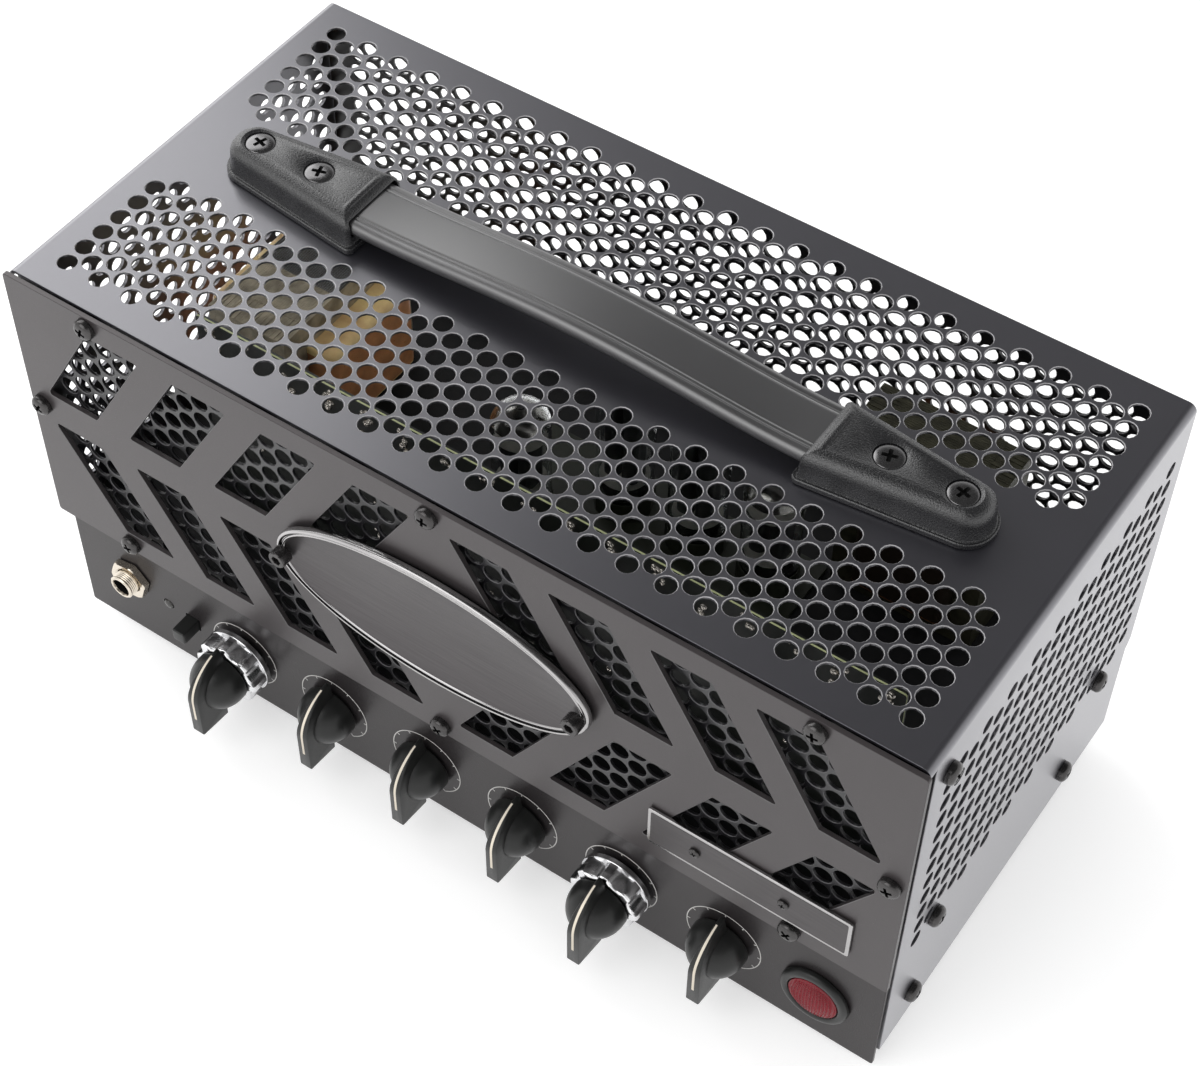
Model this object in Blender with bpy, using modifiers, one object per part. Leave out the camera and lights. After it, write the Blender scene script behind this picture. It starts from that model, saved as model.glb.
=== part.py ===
"""Guitar amplifier head in a vented steel case, every piece a separate solid at rest.

Metres, +Z up, front towards -Y, origin under the middle of the whole object on the table.
"""

import math

import bmesh
import bpy

# Gaps and mesh limits
SEAT = 0.0003               # between pieces that are fastened together
RUN = 0.0004                # round pieces that turn or slide
WELD = 0.000002             # points nearer than this are one point
OVERLAP = 0.0004            # how far joined shapes reach into each other
PAST = 0.002                # how far a cutter reaches past the face it opens
SHARP_ANGLE = math.radians(32)

# Steel case
CASE_WIDTH = 0.330
CASE_DEPTH = 0.160
CASE_TOP = 0.172            # top face of the cover above the table
SHEET = 0.0012              # thickness of the cover, the grilles and the chassis
BEND_RADIUS = 0.003
SKIRT = 0.012               # lower edge of the cover's sides above the table
DECK = 0.054                # top face of the chassis
REAR_SETBACK = 0.003        # rear wall inside the cover's rear edge
NOTCH_DEPTH = 0.0025        # step in the lower rear edge of the cover's sides
NOTCH_RISE = 0.0035

# Control panel under the front plate
PANEL_INSET = 0.00085       # panel's ends inside the cover's sides
PANEL_BOTTOM = 0.004
PANEL_SHEET = 0.0015
PANEL_SETBACK = 0.0017      # panel's face behind the cover's front edge
CONTROL_HEIGHT = 0.0269     # axis of the knobs

# Front plate with its slanted vents
PLATE_OVERHANG = 0.0007     # plate's ends past the cover's sides
PLATE_BOTTOM = 0.0576
PLATE_TOP = 0.1713
PLATE_SHEET = 0.0018
PLATE_PROUD = 0.0024        # plate's face ahead of the cover's front edge
PLATE_SCREW_EDGE = 0.0045   # spacers in from the plate's long edges
PLATE_SCREW_END = 0.0342    # the same screws in from the plate's ends
PLATE_SIDE_EDGE = 0.0051    # end screws in from the plate's ends
SPACER_RADIUS = 0.002
SCREW_HEAD_RADIUS = 0.0037
SCREW_HEAD_TALL = 0.0030
VENT_MARGIN = 0.0095        # frame left round the vents, above and below
VENT_END = 0.0097           # frame left at the plate's ends
VENT_POST = 0.014           # upright bar in the middle
VENT_BAR = 0.014            # level bar between the two rows
VENT_WIDTH = 0.021
VENT_PITCH = 0.035
VENT_SLANT = 0.024
VENT_LEAST = 0.0001         # smallest vent worth cutting, square metres

# Coarse perforation of the cover
HOLE_RADIUS = 0.0078
HOLE_PITCH = 0.0208
HOLE_ROW = 0.0150
TOP_FIELD_INNER = 0.0260    # first row of the top's fields from the middle
TOP_FIELD_ROWS = 3
TOP_FIELD_END = 0.0150      # least distance of the outer holes from the sides
SIDE_FIELD_END = 0.0130     # and from the front and rear edges
SIDE_ROWS = 5
SIDE_FIELD_LOW = 0.0720
CORNER_SCREW_EDGE = 0.0130  # behind the cover's front edge
CORNER_SCREW_DROP = 0.0150  # below the cover's top
FIELD_SCREW_EDGE = 0.0265   # in from the front and rear edges, under the holes
FIELD_SCREW_HEIGHT = 0.0630
SKIRT_SCREW_FRONT = 0.0200
SKIRT_SCREW_REAR = 0.0390
SKIRT_SCREW_HEIGHT = 0.0260

# Coarse perforation of the front and rear grilles
GRILLE_HOLE = 0.0113
GRILLE_COLUMNS = 12
GRILLE_ROWS = 4
GRILLE_END = 0.0183         # middles of the outer holes in from the sheet's ends
GRILLE_LOW = 0.0224         # of the lowest over its lower edge
GRILLE_HIGH = 0.0196        # and of the highest under its upper edge

# Carrying handle
CAP_INNER = 0.0805          # inner ends of the caps from the middle
CAP_LENGTH = 0.0595
CAP_INNER_HALF = 0.0155
CAP_OUTER_HALF = 0.0100
CAP_ROUND = 0.0090
CAP_FLANGE = 0.0020
CAP_HEIGHT = 0.0123
CAP_SHOULDER = 0.0109
CAP_STEP = 0.0009           # how far the sides stand in from the flange
CAP_DRAFT = 0.0016
CAP_CROWN = 0.0030
STRAP_WIDTH = 0.0240
STRAP_THICK = 0.0055
STRAP_END_TOP = 0.0103      # strap's top over the cover, at the caps
STRAP_RISE = 0.0040         # how much higher it is in the middle
STRAP_TONGUE = 0.0050
STRAP_STEPS = 18

# Badge and name strip, both bare
BADGE_LONG = 0.119
BADGE_TALL = 0.0515
BADGE_HEIGHT = 0.1153
BADGE_THICK = 0.0036
BADGE_RIM = 0.0022
BADGE_BASE = 0.0012
BADGE_BASE_INSET = 0.0014
BADGE_SINK = 0.0008         # bare face below the rim
BADGE_ROUND = 0.0006
BADGE_SCREW_REACH = 0.0555
BADGE_SCREW_RADIUS = 0.0032
BADGE_SCREW_TALL = 0.0044
STRIP_END = 0.0497          # strip's middle in from the plate's end
STRIP_HEIGHT = 0.0765
STRIP_LONG = 0.072
STRIP_TALL = 0.018
STRIP_THICK = 0.0012

# Knobs, collars, shafts and potentiometers
KNOB_NAMES = ("gain", "low", "mid", "high", "volume", "presence")
DUAL_KNOBS = ("gain", "volume")
KNOB_FIRST_END = 0.0750     # first and last knob in from the case's sides
KNOB_LAST_END = 0.0580
KNOB_LIFT = 0.0012          # knob's base off the panel
KNOB_HEIGHT = 0.0164
KNOB_DOME = 0.0130
KNOB_RADIUS = 0.0102
KNOB_SKIRT = 0.0025
KNOB_TIP = 0.0155
KNOB_TAIL = 0.0157
KNOB_BAR = 0.0062
KNOB_BORE_DEPTH = 0.0110
NUT_SPACE_RADIUS = 0.0062   # recess under knobs and collars
NUT_SPACE_DEPTH = 0.0030
COLLAR_LIFT = 0.0020
COLLAR_HEIGHT = 0.0088
COLLAR_RADIUS = 0.0130
COLLAR_BASE = 0.0022
COLLAR_CHAMFER = 0.0008
FLUTES = 8
FLUTE_RADIUS = 0.0055
FLUTE_CENTRE = 0.0166
SHAFT_RADIUS = 0.0030
SHAFT_END_GAP = 0.0005
BUSHING_RADIUS = 0.0046
BUSHING_REACH = 0.0035
POT_RADIUS = 0.0082
POT_DEPTH = 0.0090
POT_BORE_DEPTH = 0.0070
BOARD_THICK = 0.0016
BOARD_MARGIN = 0.0120
CONTROL_BOARD_LOW = 0.0180
CONTROL_BOARD_HIGH = 0.0490

# Pilot lamp, status lamp and push button
PILOT_END = 0.0235          # distances in from the case's sides
PILOT_RADIUS = 0.01225
PILOT_HEIGHT = 0.0028
PILOT_BARREL_RADIUS = 0.0080
PILOT_BARREL_DEPTH = 0.0140
LENS_RADIUS = 0.0088
LENS_SEAT = 0.0010          # floor of the bezel's recess off the panel
LENS_HEIGHT = 0.0040
STATUS_END = 0.0407
STATUS_HEIGHT = 0.0294
STATUS_RADIUS = 0.0020
STATUS_DOME = 0.0008
STATUS_DEPTH = 0.0080
BUTTON_END = 0.0515
BUTTON_SIDE = 0.0054
BUTTON_REACH = 0.0080
BUTTON_STEM = 0.0060
BUTTON_POCKET = 0.0105
SWITCH_SIDE = 0.0120
SWITCH_DEPTH = 0.0140
BUTTON_EDGE = 0.0004

# Jack sockets
JACK_END = 0.0252           # in from the case's left side
JACK_HEIGHT = 0.0342
JACK_SLEEVE_RADIUS = 0.0048
JACK_BORE_RADIUS = 0.0034
JACK_REACH = 0.0068
JACK_BORE_DEPTH = 0.0200
JACK_BARREL_RADIUS = 0.0080
JACK_BARREL_DEPTH = 0.0220
JACK_FLANGE_RADIUS = 0.0070
JACK_FLANGE = 0.0020
NUT_CORNER = 0.0082
NUT_THICK = 0.0028
SPEAKER_JACK_END = 0.0750
SPEAKER_JACK_PITCH = 0.0300

# Rear wall: mains inlet and rocker switches
REAR_HEIGHT = 0.0335
REAR_SPLIT = -0.0100        # between the jacks' plate and the mains plate
INLET_END = 0.0530          # in from the case's right side
INLET_FLANGE = (0.0310, 0.0250)
INLET_BODY = (0.0276, 0.0206)
INLET_CAVITY = (0.0240, 0.0170)
INLET_PROUD = 0.0030
INLET_DEPTH = 0.0180
INLET_CAVITY_DEPTH = 0.0160
INLET_PIN = (0.0020, 0.0046)
INLET_PIN_LONG = 0.0090
INLET_PIN_PLACES = ((-0.0070, -0.0025), (0.0, 0.0030), (0.0070, -0.0025))
POWER_ROCKER_END = 0.0990
STANDBY_ROCKER_END = 0.1290
FRAME_FLANGE = (0.0150, 0.0210)
FRAME_BODY = (0.0126, 0.0186)
FRAME_PROUD = 0.0020
FRAME_DEPTH = 0.0120
ROCKER_WIDTH = 0.0094
ROCKER_RADIUS = 0.0072
ROCKER_PIVOT = -0.0015      # pivot's distance out of the rear wall
ROCKER_FACE = 0.0050        # face of the rocker over its pivot
ROCKER_TILT = math.radians(11)

# Works inside the cage
TRANSFORMERS = {
    "power_transformer": {
        "x": 0.095, "turn": 0.0,
        "width": 0.054, "height": 0.078, "stack": 0.022, "limb": 0.009, "bulge": 0.0058,
    },
    "output_transformer": {
        "x": -0.129, "turn": math.pi / 2,
        "width": 0.0676, "height": 0.061, "stack": 0.033, "limb": 0.011, "bulge": 0.0110,
    },
}
POWER_REAR = 0.0010         # power transformer's coil to the rear grille
OUTPUT_BEHIND = 0.0165      # output transformer's middle behind the case's middle
FRONT_BOARD_REACH = (-0.115, 0.143)
FRONT_BOARD_BEHIND = 0.0250     # behind the front grille's sheet
FRONT_BOARD_DROP = 0.0135       # upper edge under the cover's inside
TUBE_PLACES = {
    "preamp_tube_1": (-0.036, 0.012),
    "power_tube_1": (-0.008, 0.034),
    "power_tube_2": (0.022, 0.034),
    "preamp_tube_2": (0.051, 0.034),
}
TUBE_RADIUS = 0.0105
POWER_TUBE_TALL = 0.0660
PREAMP_TUBE_TALL = 0.0460
TUBE_TIP = 0.0045           # drawn-out tip on top of the glass
TUBE_PLUG_RADIUS = 0.0080
SOCKET_RADIUS = 0.0110
SOCKET_TALL = 0.0090
SOCKET_FLOOR = 0.0010
TUBE_BOARD = (0.118, 0.062)
TUBE_BOARD_PLACE = (0.007, 0.018)

# Feet
FOOT_RADIUS = 0.0100
FOOT_END = 0.0250           # in from the case's sides
FOOT_EDGE = 0.0220          # in from its front and rear

# Places that follow from the sizes above
KNOB_DUAL_LIFT = COLLAR_LIFT + COLLAR_HEIGHT + RUN
FRONT_REACH = CASE_DEPTH / 2 - PANEL_SETBACK + KNOB_DUAL_LIFT + KNOB_HEIGHT
REAR_REACH = CASE_DEPTH / 2 - REAR_SETBACK + JACK_REACH
CASE_MID_Y = (FRONT_REACH - REAR_REACH) / 2
CASE_FRONT = CASE_MID_Y - CASE_DEPTH / 2
CASE_REAR = CASE_MID_Y + CASE_DEPTH / 2
CASE_HALF = CASE_WIDTH / 2
INNER_HALF = CASE_HALF - SHEET - SEAT
INNER_TOP = CASE_TOP - SHEET - SEAT
PANEL_FRONT = CASE_FRONT + PANEL_SETBACK
TRAY_FRONT = PANEL_FRONT + PANEL_SHEET + SEAT
TRAY_BOTTOM = SKIRT + SHEET + SEAT
REAR_FACE = CASE_REAR - REAR_SETBACK
PLATE_FRONT = CASE_FRONT - PLATE_PROUD
PLATE_MIDDLE = (PLATE_BOTTOM + PLATE_TOP) / 2
PANEL_WIDTH = CASE_WIDTH - 2 * PANEL_INSET
PLATE_HALF = CASE_HALF + PLATE_OVERHANG
VENT_REACH = PLATE_HALF - VENT_END
TOP_COLUMNS = 1 + 2 * math.floor((CASE_HALF - TOP_FIELD_END) / HOLE_PITCH)
SIDE_COLUMNS = 1 + 2 * math.floor((CASE_DEPTH / 2 - SIDE_FIELD_END) / HOLE_PITCH)
STRIP_X = PLATE_HALF - STRIP_END
KNOB_FIRST_X = KNOB_FIRST_END - CASE_HALF
KNOB_PITCH = (CASE_WIDTH - KNOB_FIRST_END - KNOB_LAST_END) / (len(KNOB_NAMES) - 1)
PILOT_X = CASE_HALF - PILOT_END
STATUS_X = STATUS_END - CASE_HALF
BUTTON_X = BUTTON_END - CASE_HALF
JACK_X = JACK_END - CASE_HALF
SPEAKER_JACK_XS = (SPEAKER_JACK_END + SPEAKER_JACK_PITCH - CASE_HALF, SPEAKER_JACK_END - CASE_HALF)
INLET_X = CASE_HALF - INLET_END
ROCKER_XS = {"power": CASE_HALF - POWER_ROCKER_END, "standby": CASE_HALF - STANDBY_ROCKER_END}
POWER_HALF = TRANSFORMERS["power_transformer"]["stack"] / 2 + TRANSFORMERS["power_transformer"]["bulge"]
TRANSFORMER_YS = {
    "power_transformer": REAR_FACE - SHEET - POWER_REAR - POWER_HALF,
    "output_transformer": CASE_MID_Y + OUTPUT_BEHIND,
}
TUBE_TALL = {"power": POWER_TUBE_TALL, "preamp": PREAMP_TUBE_TALL}
FOOT_X = CASE_HALF - FOOT_END
FOOT_Y = CASE_DEPTH / 2 - FOOT_EDGE
FRONT_WALL = PANEL_SHEET + SEAT + SHEET
SHAFT_BORE = SHAFT_RADIUS + RUN
BUTTON_BORE = BUTTON_SIDE + 2 * RUN
FRAME_BORE = (ROCKER_WIDTH + 2 * SEAT, 2 * (ROCKER_RADIUS + RUN))

# Which way a piece's own Z axis points
FACING = {
    "UP": (0.0, 0.0, 0.0),
    "FRONT": (math.pi / 2, 0.0, 0.0),
    "REAR": (math.pi / 2, 0.0, math.pi),
    "RIGHT": (math.pi / 2, 0.0, math.pi / 2),
    "ACROSS": (0.0, -math.pi / 2, 0.0),
}

# Finishes: colour, metallic, roughness
FINISHES = {
    "black_coat": ((0.035, 0.035, 0.038, 1.0), 0.0, 0.45),
    "grey_coat": ((0.11, 0.105, 0.105, 1.0), 0.2, 0.45),
    "steel": ((0.45, 0.45, 0.44, 1.0), 1.0, 0.35),
    "gunmetal": ((0.16, 0.155, 0.16, 1.0), 0.8, 0.35),
    "chrome": ((0.80, 0.80, 0.80, 1.0), 1.0, 0.12),
    "nickel": ((0.72, 0.66, 0.58, 1.0), 1.0, 0.25),
    "black_plastic": ((0.025, 0.025, 0.025, 1.0), 0.0, 0.40),
    "black_rubber": ((0.02, 0.02, 0.02, 1.0), 0.0, 0.75),
    "red_lens": ((0.60, 0.02, 0.03, 1.0), 0.0, 0.10),
    "clear_lens": ((0.30, 0.30, 0.28, 1.0), 0.0, 0.15),
    "board": ((0.42, 0.45, 0.20, 1.0), 0.0, 0.50),
    "laminations": ((0.09, 0.09, 0.06, 1.0), 0.6, 0.55),
    "coil_paper": ((0.62, 0.50, 0.33, 1.0), 0.0, 0.70),
    "tube_glass": ((0.70, 0.72, 0.72, 1.0), 0.0, 0.05),
}


def clear_scene():
    for obj in list(bpy.data.objects):
        bpy.data.objects.remove(obj, do_unlink=True)


def new_collection(name):
    collection = bpy.data.collections.new(name)
    bpy.context.scene.collection.children.link(collection)
    return collection


def parts():
    return bpy.data.collections["guitar_amp_head"]


def cutters():
    return bpy.data.collections["cutters"]


def finish_material(name):
    """The Principled material of a finish, made on first use."""
    found = bpy.data.materials.get(name)
    if found:
        return found
    colour, metallic, roughness = FINISHES[name]
    made = bpy.data.materials.new(name)
    made.use_nodes = True
    made.diffuse_color = colour
    shader = made.node_tree.nodes["Principled BSDF"]
    shader.inputs["Base Color"].default_value = colour
    shader.inputs["Metallic"].default_value = metallic
    shader.inputs["Roughness"].default_value = roughness
    return made


def linked(name, data):
    obj = bpy.data.objects.new(name, data)
    parts().objects.link(obj)
    return obj


def place(obj, x, y, z, facing="UP"):
    obj.location = (x, y, z)
    obj.rotation_euler = FACING[facing]
    return obj


def painted(obj, finish):
    obj.data.materials.clear()
    obj.data.materials.append(finish_material(finish))
    return obj


def baked(obj):
    """Put the mesh that a curve or a modifier stack gives in place of it, welded."""
    bpy.context.view_layer.update()
    graph = bpy.context.evaluated_depsgraph_get()
    mesh = bpy.data.meshes.new_from_object(obj.evaluated_get(graph))
    shape = bmesh.new()
    shape.from_mesh(mesh)
    bmesh.ops.remove_doubles(shape, verts=shape.verts, dist=WELD)
    bmesh.ops.recalc_face_normals(shape, faces=shape.faces)
    shape.to_mesh(mesh)
    shape.free()
    mesh.shade_smooth()
    mesh.set_sharp_from_angle(angle=SHARP_ANGLE)
    name = obj.name
    matrix = obj.matrix_world.copy()
    bpy.data.objects.remove(obj, do_unlink=True)
    solid = linked(name, mesh)
    solid.matrix_world = matrix
    return solid


def mesh_object(name, shape):
    mesh = bpy.data.meshes.new(name)
    shape.to_mesh(mesh)
    shape.free()
    return linked(name, mesh)


def block(name, low, high):
    """A box between two corners, its origin in its middle."""
    shape = bmesh.new()
    bmesh.ops.create_cube(shape, size=1.0)
    size = [b - a for a, b in zip(low, high)]
    bmesh.ops.scale(shape, vec=size, verts=shape.verts)
    obj = mesh_object(name, shape)
    return place(obj, *[(a + b) / 2 for a, b in zip(low, high)])


def slab(name, outlines, thick):
    """A flat shape in its own XY plane, centred in thickness; inner outlines are holes."""
    curve = bpy.data.curves.new(name, "CURVE")
    curve.dimensions = "2D"
    curve.fill_mode = "BOTH"
    curve.extrude = thick / 2
    for outline in outlines:
        spline = curve.splines.new("POLY")
        spline.points.add(len(outline) - 1)
        for point, (x, y) in zip(spline.points, outline):
            point.co = (x, y, 0.0, 1.0)
        spline.use_cyclic_u = True
    return baked(linked(name, curve))


def turned(name, profile, steps=16, ring=False):
    """A profile of (radius, height) points turned about Z, top to bottom on its outside."""
    shape = bmesh.new()
    points = [shape.verts.new((radius, 0.0, height)) for radius, height in profile]
    for first, second in zip(points, points[1:]):
        shape.edges.new((first, second))
    if ring:
        shape.edges.new((points[-1], points[0]))
    obj = mesh_object(name, shape)
    screw = obj.modifiers.new("turn", "SCREW")
    screw.steps = steps
    screw.render_steps = steps
    screw.use_merge_vertices = True
    screw.merge_threshold = WELD
    return baked(obj)


def stack(name, ring, levels):
    """A loft through the outline ring(inset) at each (height, inset) level."""
    shape = bmesh.new()
    loops = []
    for height, inset in levels:
        loops.append([shape.verts.new((x, y, height)) for x, y in ring(inset)])
    shape.faces.new(list(reversed(loops[0])))
    shape.faces.new(loops[-1])
    for low, high in zip(loops, loops[1:]):
        for index in range(len(low)):
            after = (index + 1) % len(low)
            shape.faces.new((low[index], low[after], high[after], high[index]))
    return baked(mesh_object(name, shape))


def helper(obj):
    """Move a shape out of the parts, to serve as a cutter or an addition."""
    parts().objects.unlink(obj)
    cutters().objects.link(obj)
    obj.hide_render = True
    obj.display_type = "WIRE"
    return obj


def combine(obj, other, operation):
    """Cut, add or intersect another shape with a live Boolean."""
    boolean = obj.modifiers.new(operation.lower(), "BOOLEAN")
    boolean.operation = operation
    boolean.solver = "EXACT"
    boolean.object = helper(other)
    return obj


def rectangle(width, height, x=0.0, y=0.0):
    a = width / 2
    b = height / 2
    return [(x - a, y - b), (x + a, y - b), (x + a, y + b), (x - a, y + b)]


def circle(radius, x=0.0, y=0.0, count=14, start=0.0):
    angles = [start + 2 * math.pi * index / count for index in range(count)]
    return [(x + radius * math.cos(a), y + radius * math.sin(a)) for a in angles]


def clipped(points, axis, limit, sign):
    """The part of an outline where sign times the coordinate is over sign times the limit."""
    kept = []
    for here, after in zip(points, points[1:] + points[:1]):
        over = sign * (here[axis] - limit)
        next_over = sign * (after[axis] - limit)
        if over >= 0:
            kept.append(here)
        if over * next_over < 0:
            share = over / (over - next_over)
            kept.append(tuple(a + share * (b - a) for a, b in zip(here, after)))
    return kept


def area(points):
    pairs = zip(points, points[1:] + points[:1])
    return abs(sum(a[0] * b[1] - b[0] * a[1] for a, b in pairs)) / 2


def hole_field(radius, columns, rows, x_pitch, y_pitch, x_middle, y_first):
    """Hexagonal hole outlines in staggered columns."""
    holes = []
    for column in range(columns):
        x = x_middle + (column - (columns - 1) / 2) * x_pitch
        shift = y_pitch / 2 if column % 2 else 0.0
        for row in range(rows):
            holes.append(circle(radius, x, y_first + row * y_pitch + shift, 6))
    return holes


def knob_x(name):
    return KNOB_FIRST_X + KNOB_NAMES.index(name) * KNOB_PITCH


def front_holes():
    """Openings through the control panel and the chassis' front wall, in x and z."""
    holes = []
    for name in KNOB_NAMES:
        holes.append(circle(BUSHING_RADIUS + SEAT, knob_x(name), CONTROL_HEIGHT))
    holes.append(circle(JACK_SLEEVE_RADIUS + SEAT, JACK_X, JACK_HEIGHT))
    holes.append(circle(PILOT_BARREL_RADIUS + SEAT, PILOT_X, CONTROL_HEIGHT))
    holes.append(circle(STATUS_RADIUS + SEAT, STATUS_X, STATUS_HEIGHT, 12))
    holes.append(rectangle(BUTTON_BORE, BUTTON_BORE, BUTTON_X, CONTROL_HEIGHT))
    return holes


def rear_holes():
    """Openings through the chassis' rear wall, in x and z."""
    gap = 2 * SEAT
    holes = [rectangle(INLET_BODY[0] + gap, INLET_BODY[1] + gap, INLET_X, REAR_HEIGHT)]
    for x in ROCKER_XS.values():
        holes.append(rectangle(FRAME_BODY[0] + gap, FRAME_BODY[1] + gap, x, REAR_HEIGHT))
    for x in SPEAKER_JACK_XS:
        holes.append(circle(JACK_SLEEVE_RADIUS + SEAT, x, REAR_HEIGHT))
    return holes


def make_chassis():
    """Steel chassis: a deck with side walls, a front wall, and a rear wall in two plates side by side."""
    low = (-INNER_HALF, TRAY_FRONT, TRAY_BOTTOM)
    high = (INNER_HALF, REAR_FACE, DECK)
    tray = block("chassis_tray", low, high)
    hollow_low = (low[0] + SHEET, low[1] - PAST, low[2] - PAST)
    hollow_high = (high[0] - SHEET, high[1] + PAST, high[2] - SHEET)
    combine(tray, block("tray_hollow", hollow_low, hollow_high), "DIFFERENCE")
    painted(tray, "black_coat")
    half = INNER_HALF - SHEET - SEAT
    low = TRAY_BOTTOM
    high = DECK - SHEET - SEAT
    rear = REAR_FACE - SHEET / 2
    walls = {
        "chassis_front_wall": (-half, half, front_holes(), TRAY_FRONT + SHEET / 2),
        "chassis_rear_wall_jacks": (-half, REAR_SPLIT - SEAT / 2, rear_holes(), rear),
        "chassis_rear_wall_mains": (REAR_SPLIT + SEAT / 2, half, rear_holes(), rear),
    }
    for name, (left, right, holes, y) in walls.items():
        outline = rectangle(right - left, high - low, (left + right) / 2, (low + high) / 2)
        wall = slab(name, [outline] + [hole for hole in holes if left < hole[0][0] < right], SHEET)
        painted(place(wall, 0.0, y, 0.0, "FRONT"), "black_coat")


def make_bottom_plate():
    low = (-INNER_HALF, TRAY_FRONT, SKIRT)
    high = (INNER_HALF, REAR_FACE, SKIRT + SHEET)
    return painted(block("bottom_plate", low, high), "black_coat")


def make_front_panel():
    middle = (PANEL_BOTTOM + DECK) / 2
    outline = rectangle(PANEL_WIDTH, DECK - PANEL_BOTTOM, 0.0, middle)
    panel = slab("front_panel", [outline] + front_holes(), PANEL_SHEET)
    place(panel, 0.0, PANEL_FRONT + PANEL_SHEET / 2, 0.0, "FRONT")
    return painted(panel, "grey_coat")


def make_grilles():
    """Perforated upright sheets on the deck, upper corners cut to clear the cover's folds."""
    low = DECK + SEAT
    cut = BEND_RADIUS - SHEET + SEAT
    outline = [(-INNER_HALF, low), (INNER_HALF, low), (INNER_HALF, INNER_TOP - cut)]
    outline += [(INNER_HALF - cut, INNER_TOP), (cut - INNER_HALF, INNER_TOP)]
    outline.append((-INNER_HALF, INNER_TOP - cut))
    pitch = 2 * (INNER_HALF - GRILLE_END) / (GRILLE_COLUMNS - 1)
    first = low + GRILLE_LOW
    rise = (INNER_TOP - GRILLE_HIGH - first) / (GRILLE_ROWS - 0.5)
    holes = hole_field(GRILLE_HOLE, GRILLE_COLUMNS, GRILLE_ROWS, pitch, rise, 0.0, first)
    for name, front in (("front_grille", PANEL_FRONT), ("rear_grille", REAR_FACE - SHEET)):
        sheet = slab(name, [outline] + holes, SHEET)
        painted(place(sheet, 0.0, front + SHEET / 2, 0.0, "FRONT"), "black_coat")


def vent_outlines():
    """Two rows of slanted vents, arrowing outwards from an upright bar in the middle."""
    rows = (
        (PLATE_BOTTOM + VENT_MARGIN, PLATE_MIDDLE - VENT_BAR / 2, VENT_SLANT),
        (PLATE_MIDDLE + VENT_BAR / 2, PLATE_TOP - VENT_MARGIN, -VENT_SLANT),
    )
    count = math.ceil(VENT_REACH / VENT_PITCH) + 1
    vents = []
    for low, high, slant in rows:
        for index in range(-1, count):
            x = VENT_POST / 2 + index * VENT_PITCH + max(0.0, -slant)
            corners = [(x, low), (x + VENT_WIDTH, low)]
            corners += [(x + VENT_WIDTH + slant, high), (x + slant, high)]
            inside = clipped(corners, 0, VENT_POST / 2, 1)
            inside = clipped(inside, 0, VENT_REACH, -1)
            if len(inside) < 3 or area(inside) < VENT_LEAST:
                continue
            vents.append(inside)
            vents.append([(-px, pz) for px, pz in inside])
    return vents


def plate_screw_places():
    low = PLATE_BOTTOM + PLATE_SCREW_EDGE
    high = PLATE_TOP - PLATE_SCREW_EDGE
    reach = PLATE_HALF - PLATE_SCREW_END
    places = [(x, z) for x in (-reach, 0.0, reach) for z in (low, high)]
    reach = PLATE_HALF - PLATE_SIDE_EDGE
    return places + [(-reach, PLATE_MIDDLE), (reach, PLATE_MIDDLE)]


def make_face_plate():
    """Front plate with slanted vents, its screw heads and the spacers behind them."""
    low = (-PLATE_HALF, PLATE_FRONT, PLATE_BOTTOM)
    high = (PLATE_HALF, PLATE_FRONT + PLATE_SHEET, PLATE_TOP)
    plate = block("face_plate", low, high)
    vents = slab("plate_vents", vent_outlines(), PLATE_SHEET + 2 * PAST)
    place(vents, 0.0, PLATE_FRONT + PLATE_SHEET / 2, 0.0, "FRONT")
    combine(plate, vents, "DIFFERENCE")
    back = PLATE_FRONT + PLATE_SHEET - OVERLAP
    length = PANEL_FRONT - SEAT - back
    discs = [circle(SPACER_RADIUS, x, z, 10) for x, z in plate_screw_places()]
    spacers = slab("plate_spacers", discs, length)
    place(spacers, 0.0, back + length / 2, 0.0, "FRONT")
    combine(plate, spacers, "UNION")
    length = SCREW_HEAD_TALL + OVERLAP
    discs = [circle(SCREW_HEAD_RADIUS, x, z, 12) for x, z in plate_screw_places()]
    heads = slab("plate_screw_heads", discs, length)
    place(heads, 0.0, PLATE_FRONT + OVERLAP - length / 2, 0.0, "FRONT")
    combine(plate, heads, "UNION")
    return painted(plate, "grey_coat")


def cover_outline():
    """Section of the cover: a top and two sides with rounded folds, in x and z."""
    outer = [(CASE_HALF, SKIRT)]
    inner = [(CASE_HALF - SHEET, SKIRT)]
    for step in range(4):
        angle = math.pi / 2 * step / 3
        x = CASE_HALF - BEND_RADIUS
        z = CASE_TOP - BEND_RADIUS
        outer.append((x + BEND_RADIUS * math.cos(angle), z + BEND_RADIUS * math.sin(angle)))
        bend = BEND_RADIUS - SHEET
        inner.append((x + bend * math.cos(angle), z + bend * math.sin(angle)))
    left_outer = [(-x, z) for x, z in reversed(outer)]
    left_inner = [(-x, z) for x, z in inner]
    return outer + left_outer + left_inner + list(reversed(inner))


def side_screw_places():
    """Screws of each side of the cover, in y and z."""
    places = [(CASE_FRONT + CORNER_SCREW_EDGE, CASE_TOP - CORNER_SCREW_DROP)]
    places.append((CASE_FRONT + FIELD_SCREW_EDGE, FIELD_SCREW_HEIGHT))
    places.append((CASE_REAR - FIELD_SCREW_EDGE, FIELD_SCREW_HEIGHT))
    places.append((CASE_FRONT + SKIRT_SCREW_FRONT, SKIRT_SCREW_HEIGHT))
    places.append((CASE_REAR - SKIRT_SCREW_REAR, SKIRT_SCREW_HEIGHT))
    return places


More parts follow.
